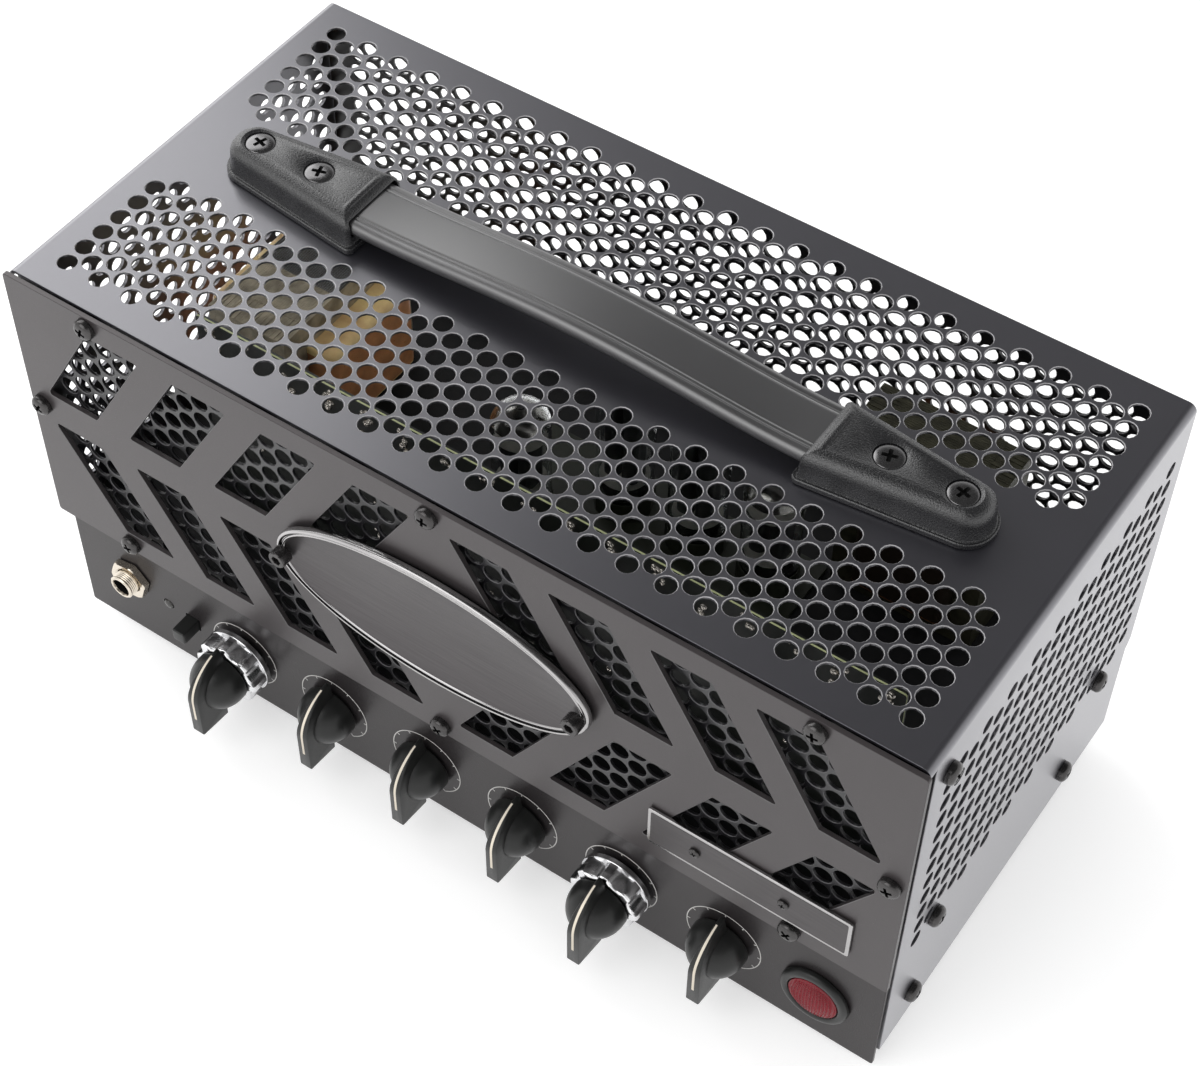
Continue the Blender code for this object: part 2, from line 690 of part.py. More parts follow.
def make_cover():
    """Bent sheet over the works: perforated, screw heads on its sides, lower edges stepped."""
    cover = slab("cage_cover", [cover_outline()], CASE_DEPTH)
    place(cover, 0.0, CASE_MID_Y, 0.0, "FRONT")
    length = SCREW_HEAD_TALL + OVERLAP
    discs = [circle(SCREW_HEAD_RADIUS, y, z, 12) for y, z in side_screw_places()]
    for name, sign in (("left", -1), ("right", 1)):
        heads = slab(f"cover_screw_heads_{name}", discs, length)
        middle = CASE_HALF - OVERLAP + length / 2
        combine(cover, place(heads, sign * middle, 0.0, 0.0, "RIGHT"), "UNION")
    reach = CASE_HALF + PAST
    low = (-reach, CASE_FRONT - PAST, SKIRT - PAST)
    high = (reach, TRAY_FRONT, CASE_TOP - BEND_RADIUS)
    combine(cover, block("cover_front_trim", low, high), "DIFFERENCE")
    step = CASE_REAR - NOTCH_DEPTH
    notch = [(step, SKIRT - PAST), (CASE_REAR + PAST, SKIRT - PAST)]
    notch += [(CASE_REAR + PAST, DECK + NOTCH_RISE), (step, DECK)]
    notches = slab("cover_notch", [notch], 2 * reach)
    combine(cover, place(notches, 0.0, 0.0, 0.0, "RIGHT"), "DIFFERENCE")
    front_first = CASE_MID_Y - TOP_FIELD_INNER - (TOP_FIELD_ROWS - 0.5) * HOLE_ROW
    top = []
    for first in (CASE_MID_Y + TOP_FIELD_INNER, front_first):
        top += hole_field(HOLE_RADIUS, TOP_COLUMNS, TOP_FIELD_ROWS, HOLE_PITCH, HOLE_ROW, 0.0, first)
    holes = slab("cover_top_holes", top, SHEET + 2 * PAST)
    combine(cover, place(holes, 0.0, 0.0, CASE_TOP - SHEET / 2), "DIFFERENCE")
    side = hole_field(
        HOLE_RADIUS, SIDE_COLUMNS, SIDE_ROWS, HOLE_PITCH, HOLE_ROW, CASE_MID_Y, SIDE_FIELD_LOW
    )
    holes = slab("cover_side_holes", side, 2 * reach)
    combine(cover, place(holes, 0.0, 0.0, 0.0, "RIGHT"), "DIFFERENCE")
    return painted(cover, "black_coat")


def make_feet():
    height = SKIRT - SEAT
    profile = [(0.0, height), (FOOT_RADIUS, height), (FOOT_RADIUS, height * 0.9)]
    profile += [(FOOT_RADIUS * 0.86, height * 0.1), (FOOT_RADIUS * 0.78, 0.0), (0.0, 0.0)]
    places = [(x, y) for y in (-FOOT_Y, FOOT_Y) for x in (-FOOT_X, FOOT_X)]
    for index, (x, y) in enumerate(places):
        foot = turned(f"foot_{index + 1}", profile)
        painted(place(foot, x, CASE_MID_Y + y, 0.0), "black_rubber")


def cap_ring(inset):
    """Plan of a handle cap: wide at its inner end, narrow and rounded at its outer end."""
    start = CAP_LENGTH - CAP_ROUND
    points = [(inset, CAP_INNER_HALF - inset), (inset, inset - CAP_INNER_HALF)]
    for step in range(9):
        angle = math.pi * (step / 8 - 0.5)
        x = start + (CAP_ROUND - inset) * math.cos(angle)
        points.append((x, (CAP_OUTER_HALF - inset) * math.sin(angle)))
    return points


def make_handle_caps():
    """Moulded end caps of the handle, each with a pocket for the strap's tongue."""
    levels = [(0.0, 0.0), (CAP_FLANGE, 0.0), (CAP_FLANGE, CAP_STEP)]
    levels += [(CAP_SHOULDER, CAP_DRAFT), (CAP_HEIGHT, CAP_CROWN)]
    for name, sign in (("left", -1), ("right", 1)):
        cap = stack(f"handle_cap_{name}", cap_ring, levels)
        place(cap, sign * CAP_INNER, CASE_MID_Y, CASE_TOP + SEAT)
        cap.rotation_euler[2] = 0.0 if sign > 0 else math.pi
        half = STRAP_WIDTH / 2 + SEAT
        reach = CAP_INNER + STRAP_TONGUE + SEAT
        ends = sorted((sign * (CAP_INNER - PAST), sign * reach))
        low = (ends[0], CASE_MID_Y - half, CASE_TOP + STRAP_END_TOP - STRAP_THICK - SEAT)
        high = (ends[1], CASE_MID_Y + half, CASE_TOP + STRAP_END_TOP + SEAT)
        combine(cap, block(f"cap_pocket_{name}", low, high), "DIFFERENCE")
        painted(cap, "black_plastic")


def strap_top(x):
    """Height of the strap's top over the cover: level at the caps, arched between them."""
    share = min(1.0, abs(x) / (CAP_INNER - PAST))
    return STRAP_END_TOP + STRAP_RISE * (1 - share * share) ** 2


def make_handle_strap():
    reach = CAP_INNER + STRAP_TONGUE
    xs = [reach * (2 * step / STRAP_STEPS - 1) for step in range(STRAP_STEPS + 1)]
    lower = [(x, strap_top(x) - STRAP_THICK) for x in xs]
    upper = [(x, strap_top(x)) for x in reversed(xs)]
    strap = slab("handle_strap", [lower + upper], STRAP_WIDTH)
    place(strap, 0.0, CASE_MID_Y, CASE_TOP, "FRONT")
    bevel = strap.modifiers.new("round_edges", "BEVEL")
    bevel.width = STRAP_THICK * 0.35
    bevel.segments = 2
    bevel.limit_method = "ANGLE"
    bevel.angle_limit = math.radians(50)
    return painted(strap, "black_rubber")


def badge_ring(inset):
    angles = [2 * math.pi * step / 32 for step in range(32)]
    a = BADGE_LONG / 2 - inset
    b = BADGE_TALL / 2 - inset
    return [(a * math.cos(angle), b * math.sin(angle)) for angle in angles]


def make_badge():
    """Bare oval badge with a stepped rim, on two socket-head screws."""
    face = BADGE_THICK - BADGE_SINK
    levels = [(0.0, BADGE_BASE_INSET), (BADGE_BASE, BADGE_BASE_INSET), (BADGE_BASE, 0.0)]
    levels += [(face, 0.0), (BADGE_THICK, BADGE_ROUND), (BADGE_THICK, BADGE_RIM)]
    levels.append((face, BADGE_RIM + BADGE_ROUND))
    badge = stack("badge_plate", badge_ring, levels)
    place(badge, 0.0, PLATE_FRONT - SEAT, BADGE_HEIGHT, "FRONT")
    painted(badge, "gunmetal")
    tall = BADGE_SCREW_TALL
    outer = BADGE_SCREW_RADIUS
    profile = [(0.0, tall * 0.5), (outer * 0.5, tall * 0.5), (outer * 0.5, tall)]
    profile += [(outer * 0.9, tall), (outer, tall * 0.9), (outer, 0.0), (0.0, 0.0)]
    for name, sign in (("left", -1), ("right", 1)):
        screw = turned(f"badge_screw_{name}", profile, 12)
        y = PLATE_FRONT - BADGE_THICK - 2 * SEAT
        place(screw, sign * BADGE_SCREW_REACH, y, BADGE_HEIGHT, "FRONT")
        painted(screw, "steel")


def make_name_strip():
    strip = slab("name_strip", [rectangle(STRIP_LONG, STRIP_TALL)], STRIP_THICK)
    place(strip, STRIP_X, PLATE_FRONT - SEAT - STRIP_THICK / 2, STRIP_HEIGHT, "FRONT")
    return painted(strip, "gunmetal")


def make_pilot_lamp():
    """Black bezel with a barrel through the panel, and the red lens in its recess."""
    recess = LENS_RADIUS + SEAT
    profile = [(0.0, LENS_SEAT), (recess, LENS_SEAT), (recess, PILOT_HEIGHT)]
    profile += [(PILOT_RADIUS * 0.90, PILOT_HEIGHT), (PILOT_RADIUS, PILOT_HEIGHT * 0.55)]
    profile += [(PILOT_RADIUS, SEAT), (PILOT_BARREL_RADIUS, SEAT)]
    profile += [(PILOT_BARREL_RADIUS, -PILOT_BARREL_DEPTH), (0.0, -PILOT_BARREL_DEPTH)]
    bezel = turned("pilot_bezel", profile, 24)
    painted(place(bezel, PILOT_X, PANEL_FRONT, CONTROL_HEIGHT, "FRONT"), "black_plastic")
    base = LENS_SEAT + SEAT
    profile = [(0.0, LENS_HEIGHT), (LENS_RADIUS * 0.36, LENS_HEIGHT)]
    profile += [(LENS_RADIUS * 0.72, LENS_HEIGHT * 0.88), (LENS_RADIUS * 0.94, LENS_HEIGHT * 0.66)]
    profile += [(LENS_RADIUS, LENS_HEIGHT * 0.5), (LENS_RADIUS, base), (0.0, base)]
    lens = turned("pilot_lens", profile)
    painted(place(lens, PILOT_X, PANEL_FRONT, CONTROL_HEIGHT, "FRONT"), "red_lens")


def jack_profile(wall, flange):
    """Jack socket: sleeve with its bore through the wall, barrel behind it."""
    inside = -(wall + SEAT)
    profile = [(0.0, JACK_REACH - JACK_BORE_DEPTH), (JACK_BORE_RADIUS, JACK_REACH - JACK_BORE_DEPTH)]
    profile += [(JACK_BORE_RADIUS, JACK_REACH), (JACK_SLEEVE_RADIUS, JACK_REACH)]
    if flange:
        profile += [(JACK_SLEEVE_RADIUS, SEAT + JACK_FLANGE), (JACK_FLANGE_RADIUS, SEAT + JACK_FLANGE)]
        profile += [(JACK_FLANGE_RADIUS, SEAT), (JACK_SLEEVE_RADIUS, SEAT)]
    profile += [(JACK_SLEEVE_RADIUS, inside), (JACK_BARREL_RADIUS, inside)]
    depth = inside - JACK_BARREL_DEPTH
    return profile + [(JACK_BARREL_RADIUS, depth), (0.0, depth)]


def make_jacks():
    jack = turned("input_jack", jack_profile(FRONT_WALL, False))
    painted(place(jack, JACK_X, PANEL_FRONT, JACK_HEIGHT, "FRONT"), "nickel")
    outlines = [circle(NUT_CORNER, count=6), circle(JACK_SLEEVE_RADIUS + SEAT)]
    nut = slab("input_jack_nut", outlines, NUT_THICK)
    y = PANEL_FRONT - SEAT - NUT_THICK / 2
    painted(place(nut, JACK_X, y, JACK_HEIGHT, "FRONT"), "nickel")
    for index, x in enumerate(SPEAKER_JACK_XS):
        jack = turned(f"speaker_jack_{index + 1}", jack_profile(SHEET, True))
        painted(place(jack, x, REAR_FACE, REAR_HEIGHT, "REAR"), "black_plastic")


def make_status_lamp():
    radius = STATUS_RADIUS
    profile = [(0.0, STATUS_DOME), (radius * 0.7, STATUS_DOME * 0.7), (radius, 0.0)]
    profile += [(radius, -STATUS_DEPTH), (0.0, -STATUS_DEPTH)]
    lamp = turned("status_lamp", profile, 12)
    painted(place(lamp, STATUS_X, PANEL_FRONT, STATUS_HEIGHT, "FRONT"), "clear_lens")


def make_push_button():
    """Square plunger, and the switch body whose pocket it slides in."""
    half = BUTTON_SIDE / 2
    inside = PANEL_FRONT + FRONT_WALL + SEAT
    low = (BUTTON_X - half, PANEL_FRONT - BUTTON_REACH, CONTROL_HEIGHT - half)
    high = (BUTTON_X + half, inside + BUTTON_STEM, CONTROL_HEIGHT + half)
    button = block("channel_button", low, high)
    bevel = button.modifiers.new("soft_edges", "BEVEL")
    bevel.width = BUTTON_EDGE
    painted(button, "black_plastic")
    half = SWITCH_SIDE / 2
    low = (BUTTON_X - half, inside, CONTROL_HEIGHT - half)
    high = (BUTTON_X + half, inside + SWITCH_DEPTH, CONTROL_HEIGHT + half)
    switch = block("button_switch", low, high)
    half = BUTTON_BORE / 2
    low = (BUTTON_X - half, inside - PAST, CONTROL_HEIGHT - half)
    high = (BUTTON_X + half, inside + BUTTON_POCKET, CONTROL_HEIGHT + half)
    combine(switch, block("switch_pocket", low, high), "DIFFERENCE")
    painted(switch, "black_plastic")


def knob_bar():
    """The knob's pointer: its plan and its side view, each pushed through the other."""
    half = KNOB_BAR / 2
    point = half * 0.22
    plan = [(-half, -KNOB_TAIL), (half, -KNOB_TAIL), (half, KNOB_TIP * 0.2)]
    plan += [(point, KNOB_TIP), (-point, KNOB_TIP), (-half, KNOB_TIP * 0.2)]
    bar = slab("pointer_plan", [plan], KNOB_HEIGHT + 2 * PAST)
    place(bar, 0.0, 0.0, KNOB_HEIGHT / 2)
    foot = KNOB_HEIGHT * 0.04
    side = [(-KNOB_TAIL - PAST, KNOB_HEIGHT * 0.24), (-KNOB_TAIL * 0.84, KNOB_HEIGHT * 0.24)]
    side += [(-KNOB_TAIL * 0.66, foot), (KNOB_TIP + PAST, foot)]
    for step in range(7):
        angle = math.radians(8 + 82 * step / 6)
        along = KNOB_TIP * (0.08 + 0.93 * math.cos(angle))
        side.append((along, KNOB_HEIGHT * math.sin(angle)))
    side += [(-KNOB_TAIL * 0.95, KNOB_HEIGHT), (-KNOB_TAIL - PAST, KNOB_HEIGHT * 0.94)]
    profile = slab("pointer_side", [side], KNOB_BAR + 2 * PAST)
    place(profile, 0.0, 0.0, 0.0, "RIGHT")
    combine(bar, profile, "INTERSECT")
    return baked(bar)


def knob_mesh():
    """Pointer knob about its own Z axis, pointing along Y, with its shaft bore."""
    profile = [(0.0, KNOB_DOME)]
    for step in range(1, 6):
        angle = math.pi / 2 * step / 5
        rise = (KNOB_DOME - KNOB_SKIRT) * math.cos(angle)
        profile.append((KNOB_RADIUS * math.sin(angle), KNOB_SKIRT + rise))
    profile += [(KNOB_RADIUS, 0.0), (0.0, 0.0)]
    knob = turned("knob_shape", profile, 20)
    combine(knob, knob_bar(), "UNION")
    bore = [(0.0, KNOB_BORE_DEPTH), (SHAFT_BORE, KNOB_BORE_DEPTH), (SHAFT_BORE, NUT_SPACE_DEPTH)]
    bore += [(NUT_SPACE_RADIUS, NUT_SPACE_DEPTH), (NUT_SPACE_RADIUS, -PAST), (0.0, -PAST)]
    combine(knob, turned("knob_bore", bore, 12), "DIFFERENCE")
    knob = baked(knob)
    mesh = knob.data
    bpy.data.objects.remove(knob, do_unlink=True)
    return mesh


def knob_lift(name):
    return KNOB_DUAL_LIFT if name in DUAL_KNOBS else KNOB_LIFT


def make_knobs():
    """Six pointer knobs at noon; each origin lies on its shaft's axis."""
    mesh = knob_mesh()
    for name in KNOB_NAMES:
        knob = linked(f"knob_{name}", mesh)
        place(knob, knob_x(name), PANEL_FRONT - knob_lift(name), CONTROL_HEIGHT, "FRONT")
        painted(knob, "black_plastic")


def make_collars():
    """Fluted collars behind the two dual controls' knobs."""
    top = COLLAR_HEIGHT
    edge = COLLAR_RADIUS - COLLAR_CHAMFER
    profile = [(SHAFT_BORE, top), (edge, top), (COLLAR_RADIUS, top - COLLAR_CHAMFER)]
    profile += [(COLLAR_RADIUS, 0.0), (NUT_SPACE_RADIUS, 0.0)]
    profile += [(NUT_SPACE_RADIUS, NUT_SPACE_DEPTH), (SHAFT_BORE, NUT_SPACE_DEPTH)]
    centres = circle(FLUTE_CENTRE, count=FLUTES, start=math.pi / FLUTES)
    flutes = [circle(FLUTE_RADIUS, x, y, 16) for x, y in centres]
    length = COLLAR_HEIGHT - COLLAR_BASE + PAST
    for name in DUAL_KNOBS:
        collar = turned(f"collar_{name}", profile, 24, ring=True)
        y = PANEL_FRONT - COLLAR_LIFT
        place(collar, knob_x(name), y, CONTROL_HEIGHT, "FRONT")
        cutter = slab(f"flutes_{name}", flutes, length)
        place(cutter, knob_x(name), y - COLLAR_BASE - length / 2, CONTROL_HEIGHT, "FRONT")
        combine(collar, cutter, "DIFFERENCE")
        painted(collar, "chrome")


def make_shafts():
    bottom = -(FRONT_WALL + SEAT) - POT_BORE_DEPTH + SHAFT_END_GAP
    for name in KNOB_NAMES:
        top = knob_lift(name) + KNOB_BORE_DEPTH - SHAFT_END_GAP
        profile = [(0.0, top), (SHAFT_RADIUS, top), (SHAFT_RADIUS, bottom), (0.0, bottom)]
        shaft = turned(f"shaft_{name}", profile, 12)
        painted(place(shaft, knob_x(name), PANEL_FRONT, CONTROL_HEIGHT, "FRONT"), "steel")


def make_control_board():
    """Upright board with the six potentiometers soldered to it, bushings through the panel."""
    front = -(FRONT_WALL + SEAT)
    back = front - POT_DEPTH
    bore = front - POT_BORE_DEPTH
    profile = [(0.0, bore), (SHAFT_BORE, bore), (SHAFT_BORE, BUSHING_REACH)]
    profile += [(BUSHING_RADIUS, BUSHING_REACH), (BUSHING_RADIUS, front), (POT_RADIUS, front)]
    profile += [(POT_RADIUS, back), (0.0, back)]
    low_y = PANEL_FRONT - back - OVERLAP
    low = (knob_x(KNOB_NAMES[0]) - BOARD_MARGIN, low_y, CONTROL_BOARD_LOW)
    high = (knob_x(KNOB_NAMES[-1]) + BOARD_MARGIN, low_y + BOARD_THICK, CONTROL_BOARD_HIGH)
    board = block("control_board", low, high)
    for name in KNOB_NAMES:
        pot = turned(f"pot_{name}", profile, 14)
        place(pot, knob_x(name), PANEL_FRONT, CONTROL_HEIGHT, "FRONT")
        combine(board, pot, "UNION")
    return painted(board, "board")


def make_mains_inlet():
    """Flanged inlet socket in the rear wall: a cavity with three flat pins."""
    flange_y = REAR_FACE + SEAT
    flange = slab("mains_inlet", [rectangle(*INLET_FLANGE)], INLET_PROUD - SEAT)
    place(flange, INLET_X, (flange_y + REAR_FACE + INLET_PROUD) / 2, REAR_HEIGHT, "REAR")
    length = INLET_DEPTH + SEAT + OVERLAP
    body = slab("inlet_body", [rectangle(*INLET_BODY)], length)
    place(body, INLET_X, flange_y + OVERLAP - length / 2, REAR_HEIGHT, "REAR")
    combine(flange, body, "UNION")
    floor = REAR_FACE + INLET_PROUD - INLET_CAVITY_DEPTH
    cavity = slab("inlet_cavity", [rectangle(*INLET_CAVITY)], INLET_CAVITY_DEPTH + PAST)
    place(cavity, INLET_X, floor + (INLET_CAVITY_DEPTH + PAST) / 2, REAR_HEIGHT, "REAR")
    combine(flange, cavity, "DIFFERENCE")
    outlines = [rectangle(*INLET_PIN, x, z) for x, z in INLET_PIN_PLACES]
    pins = slab("inlet_pins", outlines, INLET_PIN_LONG + OVERLAP)
    place(pins, INLET_X, floor + (INLET_PIN_LONG - OVERLAP) / 2, REAR_HEIGHT, "REAR")
    combine(flange, pins, "UNION")
    return painted(flange, "black_plastic")


def rocker_outline():
    """Side view of a rocker tipped about its pivot: round ends, two faces in a shallow vee."""
    points = [(-ROCKER_RADIUS * 0.55, -ROCKER_RADIUS * 0.75)]
    points.append((ROCKER_RADIUS * 0.55, -ROCKER_RADIUS * 0.75))
    rise = math.asin(ROCKER_FACE / ROCKER_RADIUS)
    turns = [-0.5 + (rise + 0.5) * step / 4 for step in range(5)]
    right = [(ROCKER_RADIUS * math.cos(a), ROCKER_RADIUS * math.sin(a)) for a in turns]
    points += right
    points.append((0.0, ROCKER_FACE * 0.80))
    points += [(-u, v) for u, v in reversed(right)]
    c = math.cos(ROCKER_TILT)
    s = math.sin(ROCKER_TILT)
    return [(c * u - s * v, s * u + c * v) for u, v in points]


def make_rockers():
    """Two rear rocker switches; each rocker's origin lies on its level pivot."""
    for name, x in ROCKER_XS.items():
        length = FRAME_DEPTH + FRAME_PROUD
        frame = slab(f"{name}_switch_frame", [rectangle(*FRAME_FLANGE)], FRAME_PROUD - SEAT)
        place(frame, x, REAR_FACE + (FRAME_PROUD + SEAT) / 2, REAR_HEIGHT, "REAR")
        body = slab(f"{name}_frame_body", [rectangle(*FRAME_BODY)], length - OVERLAP)
        place(body, x, REAR_FACE + FRAME_PROUD - OVERLAP - (length - OVERLAP) / 2, REAR_HEIGHT, "REAR")
        combine(frame, body, "UNION")
        bore = slab(f"{name}_frame_bore", [rectangle(*FRAME_BORE)], length)
        place(bore, x, REAR_FACE + FRAME_PROUD + PAST - length / 2, REAR_HEIGHT, "REAR")
        combine(frame, bore, "DIFFERENCE")
        painted(frame, "black_plastic")
        rocker = slab(f"{name}_rocker", [rocker_outline()], ROCKER_WIDTH)
        place(rocker, x, REAR_FACE + ROCKER_PIVOT, REAR_HEIGHT, "ACROSS")
        painted(rocker, "black_plastic")


def make_transformers():
    """Each transformer: a laminated core with two windows, and the coil round its middle limb."""
    for name, spot in TRANSFORMERS.items():
        width = spot["width"]
        height = spot["height"]
        stack_depth = spot["stack"]
        limb = spot["limb"]
        window = (width - 4 * limb) / 2
        window_x = limb + window / 2
        tall = height - 2 * limb
        windows = [rectangle(window, tall, sign * window_x, 0.0) for sign in (-1, 1)]
        core = slab(f"{name}_core", [rectangle(width, height)] + windows, stack_depth)
        middle = DECK + SEAT + height / 2
        place(core, spot["x"], TRANSFORMER_YS[name], middle, "FRONT")
        core.rotation_euler[2] = spot["turn"]
        painted(core, "laminations")
        inner = rectangle(2 * (limb + SEAT), stack_depth + 2 * SEAT)
        outer = rectangle(2 * (limb + window - SEAT), stack_depth + 2 * spot["bulge"])
        coil = slab(f"{name}_coil", [outer, inner], tall - 2 * SEAT)
        place(coil, spot["x"], TRANSFORMER_YS[name], middle)
        coil.rotation_euler[2] = spot["turn"]
        painted(coil, "coil_paper")


def make_front_board():
    """Upright board behind the front grille."""
    front = PANEL_FRONT + SHEET + FRONT_BOARD_BEHIND
    low = (FRONT_BOARD_REACH[0], front, DECK + SEAT)
    high = (FRONT_BOARD_REACH[1], front + BOARD_THICK, INNER_TOP - FRONT_BOARD_DROP)
    return painted(block("front_board", low, high), "board")


def make_tube_board():
    """Board on the deck with the tube sockets standing on it."""
    low = DECK + SEAT
    x, y = TUBE_BOARD_PLACE
    middle = low + BOARD_THICK / 2
    board = slab("tube_board", [rectangle(*TUBE_BOARD)], BOARD_THICK)
    place(board, x, CASE_MID_Y + y, middle)
    floor = low + BOARD_THICK + SOCKET_FLOOR
    bore = TUBE_PLUG_RADIUS + SEAT
    top = low + BOARD_THICK + SOCKET_TALL
    for name, (tube_x, tube_y) in TUBE_PLACES.items():
        profile = [(0.0, floor), (bore, floor), (bore, top), (SOCKET_RADIUS, top)]
        profile += [(SOCKET_RADIUS, low + BOARD_THICK - OVERLAP), (0.0, low + BOARD_THICK - OVERLAP)]
        socket = turned(f"socket_{name}", profile, 12)
        place(socket, tube_x, CASE_MID_Y + tube_y, 0.0)
        combine(board, socket, "UNION")
    return painted(board, "board")


def make_tubes():
    """Glass tubes standing in their sockets."""
    low = DECK + SEAT + BOARD_THICK
    plug = low + SOCKET_FLOOR + SEAT
    shoulder = low + SOCKET_TALL + SEAT
    for name, (x, y) in TUBE_PLACES.items():
        top = shoulder + TUBE_TALL[name.split("_")[0]]
        profile = [(0.0, top), (TUBE_RADIUS * 0.16, top - TUBE_TIP * 0.2)]
        profile.append((TUBE_RADIUS * 0.24, top - TUBE_TIP * 0.9))
        for angle in (0.45, 0.85, 1.25, math.pi / 2):
            drop = TUBE_RADIUS * 0.75 * (1 - math.cos(angle))
            profile.append((TUBE_RADIUS * math.sin(angle), top - TUBE_TIP - drop))
        profile += [(TUBE_RADIUS, shoulder), (TUBE_PLUG_RADIUS, shoulder)]
        profile += [(TUBE_PLUG_RADIUS, plug), (0.0, plug)]
        tube = turned(name, profile, 14)
        painted(place(tube, x, CASE_MID_Y + y, 0.0), "tube_glass")


def main():
    clear_scene()
    new_collection("guitar_amp_head")
    new_collection("cutters")
    make_chassis()
    make_bottom_plate()
    make_front_panel()
    make_grilles()
    make_face_plate()
    make_cover()
    make_feet()
    make_handle_caps()
    make_handle_strap()
    make_badge()
    make_name_strip()
    make_pilot_lamp()
    make_jacks()
    make_status_lamp()
    make_push_button()
    make_knobs()
    make_collars()
    make_shafts()
    make_control_board()
    make_mains_inlet()
    make_rockers()
    make_transformers()
    make_front_board()
    make_tube_board()
    make_tubes()


if __name__ == "__main__":
    main()
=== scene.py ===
"""Looks of a guitar amplifier head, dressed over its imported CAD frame.

Metres, +Z up, front towards -Y. Every piece sits where the CAD node it stands for sits.
"""

import math

import bmesh
import bpy
import numpy as np
from mathutils import Matrix, Vector
from mathutils.geometry import delaunay_2d_cdt


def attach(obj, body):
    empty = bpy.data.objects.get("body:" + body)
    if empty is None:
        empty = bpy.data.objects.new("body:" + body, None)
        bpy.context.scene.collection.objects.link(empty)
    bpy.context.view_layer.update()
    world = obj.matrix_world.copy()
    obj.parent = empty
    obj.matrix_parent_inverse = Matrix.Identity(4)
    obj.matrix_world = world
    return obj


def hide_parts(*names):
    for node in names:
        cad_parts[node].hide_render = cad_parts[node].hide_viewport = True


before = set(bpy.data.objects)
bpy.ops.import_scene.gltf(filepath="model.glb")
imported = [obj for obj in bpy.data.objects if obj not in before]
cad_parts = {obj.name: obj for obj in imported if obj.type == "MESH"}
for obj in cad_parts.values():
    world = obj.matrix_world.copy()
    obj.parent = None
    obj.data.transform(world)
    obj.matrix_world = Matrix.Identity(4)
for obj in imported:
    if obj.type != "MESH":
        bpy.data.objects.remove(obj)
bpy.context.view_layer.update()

QUARTER = math.pi / 2

# Case, the same sizes as in the CAD source
SEAT = 0.0003               # gap between pieces that touch
WELD = 1e-6                 # points nearer than this are one
OVER = 0.002                # forms that cut others run past them by this
CAD_BEVEL = 0.0002          # softened edges of the CAD nodes that stay in view
CASE_HALF = 0.165
MID_Y = 0.01105
CASE_FRONT = -0.06895
CASE_REAR = 0.09105
CASE_TOP = 0.172
SHEET = 0.0012
BEND = 0.003
SKIRT = 0.012
DECK = 0.054
NOTCH_DEPTH = 0.0025
NOTCH_RISE = 0.0035
PANEL_FRONT = -0.06725
PANEL_SHEET = 0.0015
PANEL_HALF = 0.16415
PANEL_BOTTOM = 0.004
PANEL_CORNER = 0.0008
TRAY_FRONT = -0.06545
REAR_FACE = 0.08805
INNER_HALF = 0.1635
INNER_TOP = 0.1705
CONTROL_HEIGHT = 0.0269

# Front plate
PLATE_FRONT = -0.07135
PLATE_SHEET = 0.0018
PLATE_HALF = 0.1657
PLATE_BOTTOM = 0.0576
PLATE_TOP = 0.1713
PLATE_MIDDLE = (PLATE_BOTTOM + PLATE_TOP) / 2
PLATE_CORNER = 0.0012
PLATE_SCREWS = [(x, z) for x in (-0.1315, 0.0, 0.1315) for z in (0.0621, 0.1668)]
PLATE_SCREWS += [(-0.1606, PLATE_MIDDLE), (0.1606, PLATE_MIDDLE)]
VENT_MARGIN = 0.0095
VENT_REACH = 0.156
VENT_POST = 0.014
VENT_BAR = 0.014
VENT_WIDTH = 0.021
VENT_PITCH = 0.035
VENT_SLANT = 0.024
VENT_LEAST = 0.0001
VENT_CORNER = 0.0007

# Perforation
HOLE_STEPS = 14
SHEET_EDGE = 0.00018        # softened edge of sheets
RIM_EDGE = 0.00028          # rounded rims of the cover's holes
GRILLE_RIM = 0.00025        # rounded rims of the grilles' holes
TOP_HOLE = 0.0033
TOP_COLUMNS = 47
TOP_COLUMN_PITCH = 0.006594
TOP_ROWS = 6
TOP_ROW_PITCH = 0.0083
TOP_FIRST = (0.0260, 0.0218)    # nearest rows to the middle, even and odd columns
SIDE_HOLE = 0.00325
SIDE_COLUMNS = 20
SIDE_COLUMN_PITCH = 0.00712
SIDE_COLUMN_FIRST = -0.0654
SIDE_ROWS = 11
SIDE_ROW_PITCH = 0.00826
SIDE_LOWEST = (0.0654, 0.0694)
SIDE_SCREWS = [(-0.0670, 0.157), (-0.0535, 0.063), (0.0535, 0.063), (-0.0600, 0.026), (0.0410, 0.026)]
SCREW_CLEAR = 0.0055        # no hole nearer than this to a side screw
GRILLE_HOLE = 0.0033
GRILLE_COLUMNS = 47
GRILLE_COLUMN_PITCH = 0.00655
GRILLE_ROWS = 13
GRILLE_ROW_PITCH = 0.0081
GRILLE_LOWEST = 0.0606

